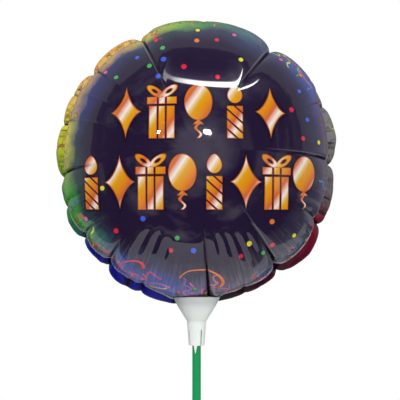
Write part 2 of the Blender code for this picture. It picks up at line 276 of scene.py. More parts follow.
@dataclass(frozen=True)
class Finish:
    """A surface's fixed gloss values, and the material they make."""

    name: str
    roughness: float
    coat: float = 0.0
    coat_roughness: float = 0.03
    ior: float = 1.5
    coat_ior: float = 1.5
    subsurface: float = 0.0

    def material(self) -> tuple[bpy.types.Material, Shader, bpy.types.Node]:
        """A material with a Principled BSDF that holds these values.

        Returns:
            The material, its shader and the Principled node, whose colour is still to be linked.
        """
        material = bpy.data.materials.new(self.name)
        material.use_nodes = True
        shader = Shader(material.node_tree)
        fixed = {
            "Roughness": self.roughness, "Coat Weight": self.coat,
            "Coat Roughness": self.coat_roughness, "IOR": self.ior, "Coat IOR": self.coat_ior,
            "Subsurface Weight": self.subsurface,
        }
        surface = shader.node("ShaderNodeBsdfPrincipled", {}, fixed)
        shader.node("ShaderNodeOutputMaterial", {}, {"Surface": surface})
        return material, shader, surface.socket.node


def feed(node: bpy.types.Node, **signals: Signal) -> None:
    """Links signals to a node's sockets, named with underscores for spaces."""
    for name, signal in signals.items():
        signal.shader.tree.links.new(signal.socket, node.inputs[name.replace("_", " ")])


# ---------------------------------------------------------------- mesh building


def add_mesh(
    name: str, points: np.ndarray, faces: Sequence[Sequence[int]], sharp: float = 40.0,
) -> bpy.types.Object:
    """A smooth mesh object at the origin, with its place in its points.

    Args:
        name: the object's name.
        points: an (n, 3) array in metres.
        faces: corner indices of each face, facing out.
        sharp: edges that turn by more than this many degrees stay sharp.

    Returns:
        The linked object.
    """
    mesh = bpy.data.meshes.new(name)
    mesh.from_pydata(points.tolist(), [], [tuple(map(int, face)) for face in faces])
    mesh.validate()
    mesh.shade_smooth()
    mesh.set_sharp_from_angle(angle=math.radians(sharp))
    obj = bpy.data.objects.new(name, mesh)
    bpy.context.scene.collection.objects.link(obj)
    return obj


def grid_faces(first: int, rows: int, columns: int, around: bool) -> np.ndarray:
    """Quads of a grid of points that runs row by row from that first index.

    Args:
        first: index of the grid's first point.
        rows: rows of points.
        columns: points in a row.
        around: whether the last column joins the first.

    Returns:
        An (n, 4) array of indices, each quad going down a row and then on by a column.
    """
    cells = columns if around else columns - 1
    row, column = np.meshgrid(np.arange(rows - 1), np.arange(cells), indexing="ij")
    after = (column + 1) % columns
    here, below = row * columns, (row + 1) * columns
    quads = (here + column, below + column, below + after, here + after)
    return first + np.stack(quads, axis=-1).reshape(-1, 4)


def sheet_normals(points: np.ndarray, faces: Iterable[np.ndarray]) -> np.ndarray:
    """Unit normals at points: the sum of the cross products of the diagonals of the faces round each.

    Args:
        points: an (n, 3) array.
        faces: arrays of three or four corner indices.

    Returns:
        An (n, 3) array of unit normals.
    """
    normals = np.zeros_like(points)
    for quads in faces:
        far = quads[:, 3] if quads.shape[1] == 4 else quads[:, 2]
        across = np.cross(points[quads[:, 2]] - points[quads[:, 0]], points[far] - points[quads[:, 1]])
        for corner in range(quads.shape[1]):
            np.add.at(normals, quads[:, corner], across)
    return normals / np.maximum(np.linalg.norm(normals, axis=1, keepdims=True), 1e-12)


def turned_mesh(name: str, profile: np.ndarray, sides: int) -> bpy.types.Object:
    """A closed (radius, height) profile, listed up its outside, carried once round the Z axis.

    Args:
        name: the object's name.
        profile: an (n, 2) array of radii and heights.
        sides: steps round the axis.

    Returns:
        The linked object.
    """
    turn = np.linspace(0, TAU, sides, endpoint=False)
    radius, height = profile[:, 0], profile[:, 1]
    x, y = np.outer(np.cos(turn), radius), np.outer(np.sin(turn), radius)
    points = np.stack([x, y, np.broadcast_to(height, x.shape)], axis=-1).reshape(-1, 3)
    count = len(profile)
    i, k = np.meshgrid(np.arange(sides), np.arange(count), indexing="ij")
    there, after = (i + 1) % sides * count, (k + 1) % count
    faces = np.stack([i * count + k, there + k, there + after, i * count + after], axis=-1).reshape(-1, 4)
    return add_mesh(name, points, faces)


def smooth_fade(share: np.ndarray) -> np.ndarray:
    """1 at share 0 and 0 from share 1 on: 1 - 3t^2 + 2t^3."""
    t = np.clip(share, 0, 1)
    return 1 - t * t * (3 - 2 * t)


def smooth_rise(value: np.ndarray, low: float, high: float) -> np.ndarray:
    """0 up to low and 1 from high on, with level ends."""
    return 1 - smooth_fade((value - low) / (high - low))


# ---------------------------------------------------------------- balloon


class Side(Enum):
    """Which film of the balloon: the sign is that of the film's Y."""

    FRONT = -1
    BACK = 1


WRINKLE_SEEDS = {Side.FRONT: 11, Side.BACK: 23}
SWELL_SEEDS = {Side.FRONT: 3, Side.BACK: 4}


@dataclass(frozen=True)
class Crease:
    """A fold that runs inwards from the weld.

    The angle, in degrees, goes round the balloon as seen from the front, from +X towards +Z. The
    depth is at the weld, and the reaches are lengths along the front and the back film.
    """

    angle: float
    depth: float
    spread: float
    front_reach: float
    back_reach: float


CREASES = tuple(Crease(angle, *(size * MM for size in sizes)) for angle, *sizes in (
    (23.0, 3.2, 8.0, 34, 26), (55.0, 7.6, 9.0, 72, 42), (87.0, 2.4, 7.0, 24, 32),
    (115.0, 7.0, 7.0, 68, 45), (140.0, 6.2, 7.0, 40, 42), (152.0, 2.2, 6.0, 24, 22),
    (165.0, 3.6, 7.0, 34, 36), (188.0, 6.2, 7.0, 50, 46), (200.0, 3.6, 7.0, 24, 26),
    (215.0, 5.6, 7.5, 36, 40), (230.0, 5.8, 7.0, 46, 48), (247.0, 3.2, 6.0, 20, 42),
    (263.0, 2.6, 2.6, 15, 34), (275.0, 4.6, 4.0, 70, 44), (290.0, 1.4, 7.0, 20, 30),
    (306.0, 6.8, 8.5, 66, 46), (332.0, 6.4, 8.0, 44, 48), (358.0, 6.8, 8.5, 66, 42),
))


@dataclass(frozen=True)
class Finger:
    """A shallow valley with a pointed inner end.

    The angle and the half width are in degrees, the tip is how far its inner end lies from the weld,
    and the share is its part of the fingers' full height.
    """

    angle: float
    half_width: float
    tip: float
    share: float = 1.0


FINGERS = tuple(Finger(angle, half_width, tip * MM, *share) for angle, half_width, tip, *share in (
    (239.8, 3.0, 58), (246.4, 3.0, 60.5), (252.8, 3.0, 57), (260.0, 2.8, 54, 0.6), (266.0, 2.8, 54, 0.7),
    (277.6, 3.0, 57.5), (283.2, 2.9, 63.5), (288.9, 2.9, 61.5), (294.6, 2.9, 58.5), (300.2, 2.6, 56),
    (312.0, 1.6, 33, 0.5), (315.4, 1.6, 31, 0.6), (318.8, 1.7, 30, 0.5), (322.4, 1.7, 28, 0.6),
    (326.0, 1.6, 27, 0.5),
))


@dataclass(frozen=True)
class RoundTable:
    """A value that changes round the balloon, from (degrees, value) pairs joined by straight lines."""

    pairs: tuple[tuple[float, float], ...]

    def read(self, angle: np.ndarray) -> np.ndarray:
        """The value at angles in radians."""
        degrees, values = zip(*self.pairs)
        return np.interp(np.degrees(angle) % 360, degrees, values, period=360)


@dataclass
class FilmShape:
    """The form of both films: a round bag's dome, less its weld groove, folds and ripples.

    A film point is named by its angle round the balloon and by its ring, which is 0 at the pole and
    1 at the weld. The dome is (r / radius)^power + (y / depth)^2 = 1. In the lobes between folds the
    weld is drawn in and forwards, and the back film stands out past it.
    """

    rim_z: float
    rim_radius: float
    middle: float
    radius: float = 93.2 * MM
    front_depth: float = 46.5 * MM
    back_depth: float = 48.0 * MM
    power: float = 2.7
    groove: float = 3.8 * MM
    tuck: float = 5.4 * MM
    weld_width: float = 1.9 * MM
    sway_top: float = 1.5 * MM
    sway_bottom: float = 8.5 * MM
    sway_reach: float = 42.0 * MM
    neck_edges: tuple[float, float] = (263.0, 275.0)
    neck_spread: float = 17.0 * MM
    crease_softness: float = 0.22 * MM
    wrinkles: int = 130
    finger_height: float = 1.60 * MM
    line_width: float = 0.80 * MM
    full_line_depth: float = 5.0 * MM
    pale_from_depth: float = 6.7 * MM
    tucked: RoundTable = RoundTable((
        (0, 0.9), (10, 1.0), (22, 0.9), (30, 0.0), (108, 0.0), (119, 0.9), (138, 1.0), (182, 1.0),
        (192, 0.2), (212, 0.05), (328, 0.1), (338, 0.8),
    ))
    bulge: RoundTable = RoundTable(tuple((degrees, height * MM) for degrees, height in (
        (0, 1.8), (9, 4.2), (20, 3.4), (32, 0.8), (100, 1.4), (119, 4.6), (150, 3.8), (176, 3.6), (188, 1.6),
        (198, 1.6), (206, 4.0), (224, 3.2), (236, 6.0), (262, 5.2), (286, 3.2), (300, 3.6), (320, 7.0),
        (334, 4.4), (350, 2.0),
    )))

    def depth(self, side: Side) -> float:
        """The dome's depth on that side."""
        return self.front_depth if side is Side.FRONT else self.back_depth

    def dome(self, ring: np.ndarray, side: Side) -> tuple[np.ndarray, np.ndarray]:
        """(r, depth) on the dome: radius sin(q)^(2 / power) and depth cos(q), q = ring 90 degrees."""
        swing = ring * np.pi / 2
        return self.radius * np.sin(swing) ** (2 / self.power), self.depth(side) * np.cos(swing)

    def dome_normal(self, ring: np.ndarray, side: Side) -> tuple[np.ndarray, np.ndarray]:
        """The dome's outward direction as (radial, deep) parts: the gradient of its equation.

        Args:
            ring: rings, from 0 at the pole to 1 at the weld.
            side: which film.

        Returns:
            The radial parts and the deep parts.
        """
        r, deep = self.dome(ring, side)
        radial = self.power * (r / self.radius) ** (self.power - 1) / self.radius
        inward = 2 * deep / self.depth(side) ** 2
        size = np.hypot(radial, inward)
        return radial / size, inward / size

    def film_length(self, ring: np.ndarray, side: Side) -> np.ndarray:
        """Length along the film from the pole to that ring.

        Args:
            ring: rings, from 0 at the pole to 1 at the weld.
            side: which film.

        Returns:
            The lengths, in metres.
        """
        fine = np.linspace(0, 1, 600)
        r, deep = self.dome(fine, side)
        travelled = np.concatenate([[0], np.cumsum(np.hypot(np.diff(r), np.diff(deep)))])
        return np.interp(ring, fine, travelled)

    @staticmethod
    def turn_between(angle: np.ndarray, degrees: float) -> np.ndarray:
        """The signed turn from an angle in degrees to angles in radians, the short way."""
        return (angle - math.radians(degrees) + np.pi) % TAU - np.pi

    def major_dip(self, angle: np.ndarray, r: np.ndarray, to_weld: np.ndarray, side: Side) -> np.ndarray:
        """The big folds: depth times a fade inwards, times a cusp across that narrows inwards.

        The cusp is 0.62 exp(-|x| / spread) + 0.38 exp(-|x| / (0.2 spread)).

        Args:
            angle: angles round the balloon, in radians.
            r: radii on the smooth dome, in metres.
            to_weld: lengths along the film to the weld, in metres.
            side: which film.

        Returns:
            How far the film moves in along its normal, in metres.
        """
        dip = np.zeros(np.broadcast(angle, r).shape)
        for crease in CREASES:
            reach = crease.front_reach if side is Side.FRONT else crease.back_reach
            fade = smooth_fade(to_weld / reach)
            x = r * self.turn_between(angle, crease.angle)
            soft = np.sqrt(x**2 + self.crease_softness**2) - self.crease_softness
            spread = crease.spread * (0.35 + 0.65 * fade)
            cusp = 0.62 * np.exp(-soft / spread) + 0.38 * np.exp(-soft / (0.2 * spread))
            dip = dip + crease.depth * fade * cusp
        return dip

    def fold_lines(self, angle: np.ndarray, r: np.ndarray, to_weld: np.ndarray, side: Side) -> np.ndarray:
        """The folds as lines: 1 in a fold's bottom, below 0 beside the deepest folds, 0 elsewhere. The print
        turns them into painted shade in the folds' bottoms and a painted highlight beside the deepest folds.

        Across a fold this is exp(-(x / w)^2) less 0.42 exp(-((x - 1.8 w) / 0.4 w)^2), fading inwards.

        Args:
            angle: angles round the balloon, in radians.
            r: radii on the smooth dome, in metres.
            to_weld: lengths along the film to the weld, in metres.
            side: which film.

        Returns:
            The lines' strength at each point.
        """
        line = np.zeros(np.broadcast(angle, r).shape)
        beside = np.zeros_like(line)
        for crease in CREASES:
            reach = crease.front_reach if side is Side.FRONT else crease.back_reach
            x = r * self.turn_between(angle, crease.angle) / self.line_width
            share = to_weld / reach
            level = min(1.0, crease.depth / self.full_line_depth)
            line = np.maximum(line, level * smooth_fade(share) ** 0.3 * np.exp(-(x**2)))
            # Beside the deepest folds lies a pale line, which the print paints as a highlight.
            if crease.depth > self.pale_from_depth:
                kept = smooth_rise(share, 0.12, 0.4) * smooth_fade(share * 0.9) ** 0.5
                beside = np.maximum(beside, 0.42 * kept * np.exp(-(((x - 1.8) / 0.4) ** 2)))
        for degrees, reach, _, depth in self.wrinkle_table(side):
            x = r * self.turn_between(angle, degrees) / (0.8 * self.line_width)
            level = 0.8 * depth / (0.8 * MM)
            line = np.maximum(line, level * smooth_fade(to_weld / reach) * np.exp(-(x**2)))
        return line - beside * (1 - line)

    def near_neck(self, angle: np.ndarray, r: np.ndarray) -> np.ndarray:
        """A bell curve over the neck, 1 at its middle: exp(-(x / spread)^4)."""
        x = r * self.turn_between(angle, sum(self.neck_edges) / 2)
        return np.exp(-((x / self.neck_spread) ** 4))

    def fullness(self, angle: np.ndarray) -> np.ndarray:
        """1 in the lobes and 0 in the deepest folds, at the weld."""
        fold = self.major_dip(angle, np.full_like(angle, self.radius), np.zeros_like(angle), Side.FRONT)
        return np.clip(1 - fold / max(c.depth for c in CREASES), 0, 1)

    def weld_dip(self, angle: np.ndarray, r: np.ndarray, to_weld: np.ndarray, side: Side) -> np.ndarray:
        """How far the weld draws the film in, none at the neck.

        On the front the draw fades slowly, as exp(-(s / reach)^1.3), so the film runs straight out to
        the weld. On the back it fades fast, and the film bulges past the weld.

        Args:
            angle: angles round the balloon, in radians.
            r: radii on the smooth dome, in metres.
            to_weld: lengths along the film to the weld, in metres.
            side: which film.

        Returns:
            How far the film moves in along its normal, in metres.
        """
        tuck = self.tucked.read(angle) * self.fullness(angle)
        drawn = (self.groove + self.tuck * tuck) * (1 - self.near_neck(angle, r))
        if side is Side.FRONT:
            return drawn * np.exp(-((to_weld / (15 * MM + 13 * MM * tuck)) ** 1.3))
        rising = smooth_rise(to_weld, 0, 13 * MM)
        bulge = self.bulge.read(angle) * rising * smooth_fade((to_weld - 18 * MM) / (52 * MM))
        return drawn * np.exp(-to_weld / (5 * MM)) - bulge

    def wrinkle_table(self, side: Side) -> list[tuple[float, float, float, float]]:
        """The small folds' random places and sizes, from the side's own seed.

        Args:
            side: which film.

        Returns:
            Each fold's (degrees, reach, spread, depth).
        """
        rng = np.random.default_rng(WRINKLE_SEEDS[side])
        degrees = np.sort(rng.uniform(0, 360, self.wrinkles))
        reach = rng.uniform(5, 30, self.wrinkles) * MM
        spread = rng.uniform(0.7, 2.2, self.wrinkles) * MM
        depth = rng.uniform(0.10, 0.80, self.wrinkles) * MM
        return list(zip(degrees, reach, spread, depth))

    def wrinkle_dip(self, angle: np.ndarray, r: np.ndarray, to_weld: np.ndarray, side: Side) -> np.ndarray:
        """Small seeded folds from the weld: the big folds' form at random angles and sizes.

        Args:
            angle: angles round the balloon, in radians.
            r: radii on the smooth dome, in metres.
            to_weld: lengths along the film to the weld, in metres.
            side: which film.

        Returns:
            How far the film moves in along its normal, in metres.
        """
        dip = np.zeros(np.broadcast(angle, r).shape)
        for degrees, reach, spread, depth in self.wrinkle_table(side):
            x = np.abs(r * self.turn_between(angle, degrees))
            dip = dip + depth * smooth_fade(to_weld / reach) * np.exp(-x / spread)
        return dip

    def finger_dip(self, angle: np.ndarray, to_weld: np.ndarray, side: Side) -> np.ndarray:
        """Fingers: pointed valleys that start at a tip on the lower film and run out towards the weld.

        The valley across a finger is 1 - |w|, w from 0 at its line to 1 at its edge, and it deepens
        evenly from its tip over 15 mm, then dies out. The back film has the same fingers, mirrored.

        Args:
            angle: angles round the balloon, in radians.
            to_weld: lengths along the film to the weld, in metres.
            side: which film.

        Returns:
            How far the film moves in along its normal, in metres.
        """
        dip = np.zeros(np.broadcast(angle, to_weld).shape)
        for finger in FINGERS:
            degrees = finger.angle if side is Side.FRONT else 540 - finger.angle
            w = np.minimum(np.abs(np.degrees(self.turn_between(angle, degrees))) / finger.half_width, 1)
            start = np.clip((finger.tip - to_weld) / (15 * MM), 0, 1)
            ends = smooth_rise(to_weld, finger.tip - 25 * MM, finger.tip - 4 * MM)
            dip = dip + self.finger_height * finger.share * start * ends * (1 - w)
        return dip

    def swell(self, angle: np.ndarray, to_weld: np.ndarray, side: Side) -> np.ndarray:
        """Slow unevenness of the film: a few waves round it, strongest near the folds.

        Args:
            angle: angles round the balloon, in radians.
            to_weld: lengths along the film to the weld, in metres.
            side: which film.

        Returns:
            How far the film moves in along its normal, in metres.
        """
        rng = np.random.default_rng(SWELL_SEEDS[side])
        window = smooth_rise(to_weld, 0, 24 * MM) * smooth_fade((to_weld - 30 * MM) / (46 * MM))
        waves = sum(
            rng.uniform(0.08, 0.20) * MM * np.sin(n * angle + rng.uniform(0, TAU)) for n in (3, 5, 8, 13)
        )
        return waves * window

    def sway(self, angle: np.ndarray) -> np.ndarray:
        """How far forward the weld wanders: between folds it does, most at the bottom but for the neck.

        Args:
            angle: angles round the balloon, in radians.

        Returns:
            The way forwards, in metres.
        """
        full = self.fullness(angle) * (1 - self.near_neck(angle, np.full_like(angle, self.radius)))
        low = np.maximum((1 - np.sin(angle)) / 2, 0.85 * self.tucked.read(angle))
        return full * (self.sway_top + (self.sway_bottom - self.sway_top) * low)

    def points(self, angle: np.ndarray, ring: np.ndarray, side: Side) -> np.ndarray:
        """The film's outside in the row frame: the dome, moved in along its normal by all the dips.

        Args:
            angle: angles round the balloon, in radians.
            ring: rings, from 0 at the pole to 1 at the weld.
            side: which film.

        Returns:
            An array of points, one for each angle and ring.
        """
        r, deep = self.dome(ring, side)
        to_weld = self.film_length(np.ones_like(ring), side) - self.film_length(ring, side)
        radial, inward = self.dome_normal(ring, side)
        dip = self.major_dip(angle, r, to_weld, side) + self.weld_dip(angle, r, to_weld, side)
        dip = dip + self.wrinkle_dip(angle, r, to_weld, side) + self.finger_dip(angle, to_weld, side)
        dip = dip + self.swell(angle, to_weld, side)
        sway = self.sway(angle) * smooth_fade(to_weld / self.sway_reach)
        out = r - dip * radial
        y = side.value * (deep - dip * inward) - sway
        points = np.stack([out * np.cos(angle), y, self.middle + out * np.sin(angle)], axis=-1)
        return self.rest_on_cup(points)

    def rest_on_cup(self, points: np.ndarray, gap: float = 0.35 * MM, soft: float = 0.8 * MM) -> np.ndarray:
        """Lifts what would lie in the cup's mouth onto its rim: a smooth maximum of z and a floor.

        The floor is level over the mouth and falls away three times as fast as the distance outside it.

        Args:
            points: an array of points, changed in place.
            gap: what stays free between film and rim.
            soft: the height over which the two surfaces blend.

        Returns:
            The same array.
        """
        away = np.hypot(points[..., 0], points[..., 1]) - (self.rim_radius + gap)
        floor = self.rim_z + gap - 3 * np.maximum(away, 0)
        z = points[..., 2]
        blend = np.maximum(soft - np.abs(z - floor), 0) / soft
        points[..., 2] = np.maximum(z, floor) + blend**2 * soft / 4
        return points


@dataclass
class Film:
    """One printed film of the balloon, with its half of the weld and of the neck, as a closed thin wall."""

    shape: FilmShape
    side: Side
    name: str
    node: str
    slot: str
    columns: int = 720
    rows: int = 58
    thickness: float = 0.20 * MM
    weld_gap: float = 0.10 * MM
    valve_room: float = 0.50 * MM
    weld_shares: tuple[float, ...] = (0.12, 0.5, 1.0)
    neck_depth: float = 11.3 * MM
    neck_half: float = 8.4 * MM
    neck_folds: int = 5
    neck_fold_height: float = 0.28 * MM
    cup_wall: float = 1.4 * MM
    cup_slope: float = 0.62
    flat_span: float = 130.0 * MM

    def angles(self) -> np.ndarray:
        """Angles of the columns, in radians: three times as close within a few degrees of a big fold.

        Returns:
            As many angles as there are columns.
        """
        fine = np.linspace(0, TAU, 7201)
        turns = (np.degrees(self.shape.turn_between(fine, crease.angle)) for crease in CREASES)
        close = sum(np.exp(-((turn / 2.2) ** 2)) for turn in turns)
        passed = np.cumsum(1 + 2.4 * np.minimum(close, 1))
        wanted = np.linspace(passed[0], passed[-1], self.columns, endpoint=False)
        return np.interp(wanted, passed, fine)

    def rings(self) -> np.ndarray:
        """Rings from near the pole to the weld, closer together towards the weld."""
        t = np.linspace(0, 1, self.rows + 1)[1:]
        return 1 - (1 - t) ** 1.35

    def neck_columns(self) -> np.ndarray:
        """Numbers of the columns that run on down the neck.

        Returns:
            The numbers, in order round the balloon.
        """
        degrees = np.degrees(self.angles())
        first, last = self.shape.neck_edges
        return np.flatnonzero((degrees > first - 1e-6) & (degrees < last + 1e-6))

    def weld_sheet(self, weld: np.ndarray) -> list[np.ndarray]:
        """Rows across the flat weld: outwards from the film, with a slow ruffle forwards and back.

        Args:
            weld: the film's points at the weld.

        Returns:
            One array of points for each row.
        """
        angle = self.angles()
        outward = np.stack([np.cos(angle), np.zeros_like(angle), np.sin(angle)], axis=-1)
        ruffle = 0.4 * MM * np.sin(23 * angle + 1.3) * np.sin(9 * angle) + 0.15 * MM * np.sin(61 * angle)
        width = self.shape.weld_width * (0.86 + 0.14 * np.sin(7 * angle + 2.0))
        rows = []
        for share in self.weld_shares:
            step = outward * (width * share)[:, None]
            step[:, 1] += ruffle * share**1.5
            rows.append(weld + step)
        return rows

    def neck_rows(self) -> list[np.ndarray]:
        """Rows down the neck, each a line across it with shallow gathers: height cos(folds pi share).

        Returns:
            One array of points for each row.
        """
        share = np.linspace(-1, 1, len(self.neck_columns()))
        rows = []
        for fall in np.linspace(0.04, 1.0, 9):
            z = self.shape.rim_z - self.neck_depth * fall
            inside = self.shape.rim_radius - self.cup_wall - self.cup_slope * self.neck_depth * fall
            half = min(self.neck_half, inside)
            y = self.neck_fold_height * np.cos(self.neck_folds * np.pi * share) * min(1.0, fall + 0.2)
            rows.append(np.stack([half * share, y, np.full_like(share, z)], axis=-1))
        return rows

    def build(self) -> bpy.types.Object:
        """Builds the wall and its flat-film UV map.

        Returns:
            The film's object.
        """
        shape, side, columns = self.shape, self.side, self.columns
        angle, ring = np.meshgrid(self.angles(), self.rings())
        dome = shape.points(angle, ring, side)
        pole = shape.points(np.zeros(1), np.zeros(1), side)
        outward = np.array([0.0, float(side.value), 0.0])
        ply = outward * (self.weld_gap + self.thickness)
        weld = dome[-1]
        flange = self.weld_sheet(weld)
        neck_columns = self.neck_columns()
        necks = self.neck_rows()
        top = necks.pop(0)
        for row, share in zip(flange, self.weld_shares):
            row[neck_columns] = weld[neck_columns] + (top - weld[neck_columns]) * share
        sheet = np.concatenate([pole, dome.reshape(-1, 3), *flange, *necks]) + ply

        closed_rows = self.rows + len(self.weld_shares)
        start = 1 + closed_rows * columns
        room = (1 + np.arange(self.rows - 1, closed_rows)[:, None] * columns + neck_columns).ravel()
        sheet[room] += outward * self.valve_room
        sheet[start:] += outward * self.valve_room

        ring_first = 1 + np.arange(columns)
        fan = np.stack([np.zeros(columns, int), ring_first, np.roll(ring_first, -1)], axis=-1)
        body = grid_faces(1, closed_rows, columns, True)
        last_row = 1 + (closed_rows - 1) * columns
        wide = len(neck_columns)
        top_row = last_row + neck_columns
        across = start + np.arange(wide - 1)
        join = np.stack([top_row[:-1], across, across + 1, top_row[1:]], axis=-1)
        tail = grid_faces(start, len(necks), wide, False)
        parts = [fan, body, join, tail]
        if side is Side.BACK:
            parts = [part[:, ::-1] for part in parts]

        loop = self.boundary(last_row, start, len(necks), wide, neck_columns)
        normals = sheet_normals(sheet, parts)
        inner = sheet - normals * self.thickness
        count = len(sheet)
        rim_pairs = np.stack([loop, np.roll(loop, -1)], axis=-1)
        if side is Side.BACK:
            rim_pairs = rim_pairs[:, ::-1]
        behind, ahead = rim_pairs[:, 0], rim_pairs[:, 1]
        edge = np.stack([ahead, behind, count + behind, count + ahead], axis=-1)
        faces = [face for part in parts for face in part.tolist()]
        faces += [[count + k for k in reversed(face)] for part in parts for face in part.tolist()]
        faces += edge.tolist()
        obj = add_mesh(self.name, np.concatenate([sheet, inner]), faces, sharp=60.0)
        self.lay_flat(obj, angle, ring, necks)
        self.mark_folds(obj, angle, ring)
        return obj

    def boundary(
        self, last_row: int, start: int, necks: int, wide: int, neck_columns: np.ndarray,
    ) -> np.ndarray:
        """Indices once round the sheet's open edge: the weld, then down, across and up the neck.

        Args:
            last_row: index of the first point of the weld's outer row.
            start: index of the neck's first point.
            necks: rows down the neck.
            wide: points across the neck.
            neck_columns: numbers of the columns over the neck.

        Returns:
            The indices, in order.
        """
        first, last = neck_columns[0], neck_columns[-1]
        around = last_row + np.arange(last, first + self.columns + 1) % self.columns
        down = start + wide * np.arange(necks)
        across = start + wide * (necks - 1) + np.arange(1, wide - 1)
        up = start + wide * np.arange(necks)[::-1] + wide - 1
        return np.concatenate([around, down, across, up])

    def lay_flat(
        self, obj: bpy.types.Object, angle: np.ndarray, ring: np.ndarray, necks: Sequence[np.ndarray],
    ) -> None:
        """Writes each point's place on the film laid flat, as (0.5 + x / 2 span, 0.5 + z / 2 span).

        Args:
            obj: the film's object.
            angle: angles round the balloon, in radians.
            ring: rings, from 0 at the pole to 1 at the weld.
            necks: the neck's rows of points.
        """
        length = self.shape.film_length(ring, self.side)
        whole = length[-1, 0]
        width = self.shape.weld_width
        beyond = [np.full(self.columns, whole + width * share) for share in self.weld_shares]
        length = np.concatenate([length, beyond])
        turn = np.broadcast_to(angle[0], length.shape)
        flat = np.stack([length * np.cos(turn), length * np.sin(turn)], axis=-1).reshape(-1, 2)
        tails = [np.stack([row[:, 0], row[:, 2] - self.shape.middle - 18 * MM], axis=-1) for row in necks]
        flat = np.concatenate([np.zeros((1, 2)), flat, *tails])
        flat = 0.5 + np.concatenate([flat, flat]) / (2 * self.flat_span)
        layer = obj.data.uv_layers.new(name="flat_film")
        corners = np.empty(len(obj.data.loops), dtype=np.int32)
        obj.data.loops.foreach_get("vertex_index", corners)
        layer.data.foreach_set("uv", flat[corners].astype(np.float32).ravel())

    def mark_folds(self, obj: bpy.types.Object, angle: np.ndarray, ring: np.ndarray) -> None:
        """Writes how deep each point lies in a fold's line as the attribute "fold", from which the print
        paints shade in the folds and a highlight beside the deepest.

        Args:
            obj: the film's object.
            angle: angles round the balloon, in radians.
            ring: rings, from 0 at the pole to 1 at the weld.
        """
        r, _ = self.shape.dome(ring, self.side)
        length = self.shape.film_length(ring, self.side)
        fold = self.shape.fold_lines(angle, r, length[-1, 0] - length, self.side)
        beyond = np.zeros(len(obj.data.vertices) // 2 - 1 - fold.size)
        values = np.concatenate([[0.0], fold.ravel(), beyond])
        layer = obj.data.attributes.new("fold", "FLOAT", "POINT")
        layer.data.foreach_set("value", np.concatenate([values, values]).astype(np.float32))

    def dress(self, obj: bpy.types.Object, material: bpy.types.Material) -> None:
        """Gives the film its print, and its place in the frame.

        Args:
            obj: the film's object.
            material: its print.
        """
        obj.data.materials.append(material)
        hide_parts(self.node)
        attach(obj, "balloon")
        LOG.info("%s: %d faces", self.name, len(obj.data.polygons))


# ---------------------------------------------------------------- print


@dataclass(frozen=True)
class Dot:
    """One round confetti piece on the flat film, in millimetres from its middle."""

    x: float
    y: float
    size: float = 1.45


CONFETTI = {
    YELLOW: (
        Dot(-0.4, 86), Dot(27, 62), Dot(81, 11), Dot(32, -55, 1.7), Dot(63, -51), Dot(-60, -20), Dot(6, -96),
    ),
    ORANGE: (Dot(-1, 76, 1.6), Dot(46, -41, 1.6), Dot(-84, 30), Dot(70, 58)),
    RED: (
        Dot(12, 77), Dot(-9, 56, 1.7), Dot(12, 49), Dot(59, 30, 1.6), Dot(67, 12), Dot(-52, -47, 1.7),
        Dot(-17, -59), Dot(48, -57, 1.7), Dot(27, -63), Dot(-28, 79), Dot(40, -84), Dot(-14, -92),
    ),
    PINK: (Dot(24, 83), Dot(56, 68), Dot(-74, -40), Dot(-62, 58)),
    GREEN: (
        Dot(-23, 71, 1.6), Dot(-31, 58, 1.6), Dot(-53, 52), Dot(-13, -51), Dot(42, -62), Dot(60, -80),
        Dot(-2, -88),
    ),
    BLUE: (
        Dot(-22, 62, 1.7), Dot(-25, 50, 1.6), Dot(71, 25), Dot(-34, -39, 1.6), Dot(-3, -59, 1.7),
        Dot(66, 44), Dot(-40, 66),
    ),
}


@dataclass(frozen=True)
class Streamer:
    """One curly paper streamer, drawn as a wave along its own axis on the flat film.

    Lengths are in millimetres and the heading in degrees. The wave's height grows along it.
    """

    x: float
    y: float
    heading: float
    length: float
    height: float
    pitch: float
    width: float
    colour: Colour


STREAMERS = tuple(Streamer(*row) for row in (
    (-98, -34, -60, 30, 4.5, 7, 0.45, RED),
    (-88, -54, -30, 30, 5.0, 8, 0.50, RED),
    (-62, -62, -52, 26, 3.0, 10, 0.45, RED),
    (-58, -84, 12, 34, 3.6, 12, 0.50, RED),
    (-44, -96, 20, 26, 2.6, 26, 0.60, (0.80, 0.40, 0.12)),
    (-12, -104, 34, 22, 3.6, 9, 0.55, PINK),
    (-10, -78, -70, 20, 2.0, 8, 0.40, (0.30, 0.12, 0.50)),
    (4, -100, 70, 26, 2.4, 10, 0.40, (0.62, 0.22, 0.12)),
    (30, -94, 36, 38, 3.0, 44, 0.60, (0.06, 0.16, 0.60)),
    (18, -98, 8, 30, 2.4, 13, 0.40, PINK),
    (58, -76, 52, 26, 2.0, 22, 0.45, (0.10, 0.35, 0.55)),
    (86, -50, 66, 26, 2.2, 12, 0.40, (0.55, 0.08, 0.10)),
    (98, -28, 86, 30, 2.4, 17, 0.45, ORANGE),
    (103, 4, 96, 24, 2.0, 9, 0.35, PINK),
    (94, 36, 110, 28, 2.2, 12, 0.50, RED),
    (80, 50, 128, 34, 2.6, 28, 0.55, PINK),
    (66, 78, 200, 14, 2.4, 5, 0.40, YELLOW),
    (72, 70, 250, 15, 1.2, 9, 0.40, (0.20, 0.55, 0.10)),
    (-24, 100, 184, 26, 3.0, 9, 0.45, ORANGE),
    (-34, 92, 300, 16, 2.0, 7, 0.45, RED),
    (-58, 84, 214, 26, 3.5, 9, 0.50, (0.12, 0.30, 0.04)),
    (-80, 62, 200, 20, 2.8, 9, 0.45, YELLOW),
    (-86, 40, 236, 26, 3.0, 9, 0.45, BLUE),
    (-104, 20, 258, 30, 3.0, 12, 0.45, RED),
    (-106, -14, 276, 22, 2.6, 10, 0.50, YELLOW),
))


@dataclass(frozen=True)
class Loop:
    """One open loop of ribbon on the flat film, in millimetres. Squash flattens it across its heading."""

    x: float
    y: float
    heading: float
    radius: float
    squash: float
    open: float
    width: float
    colour: Colour


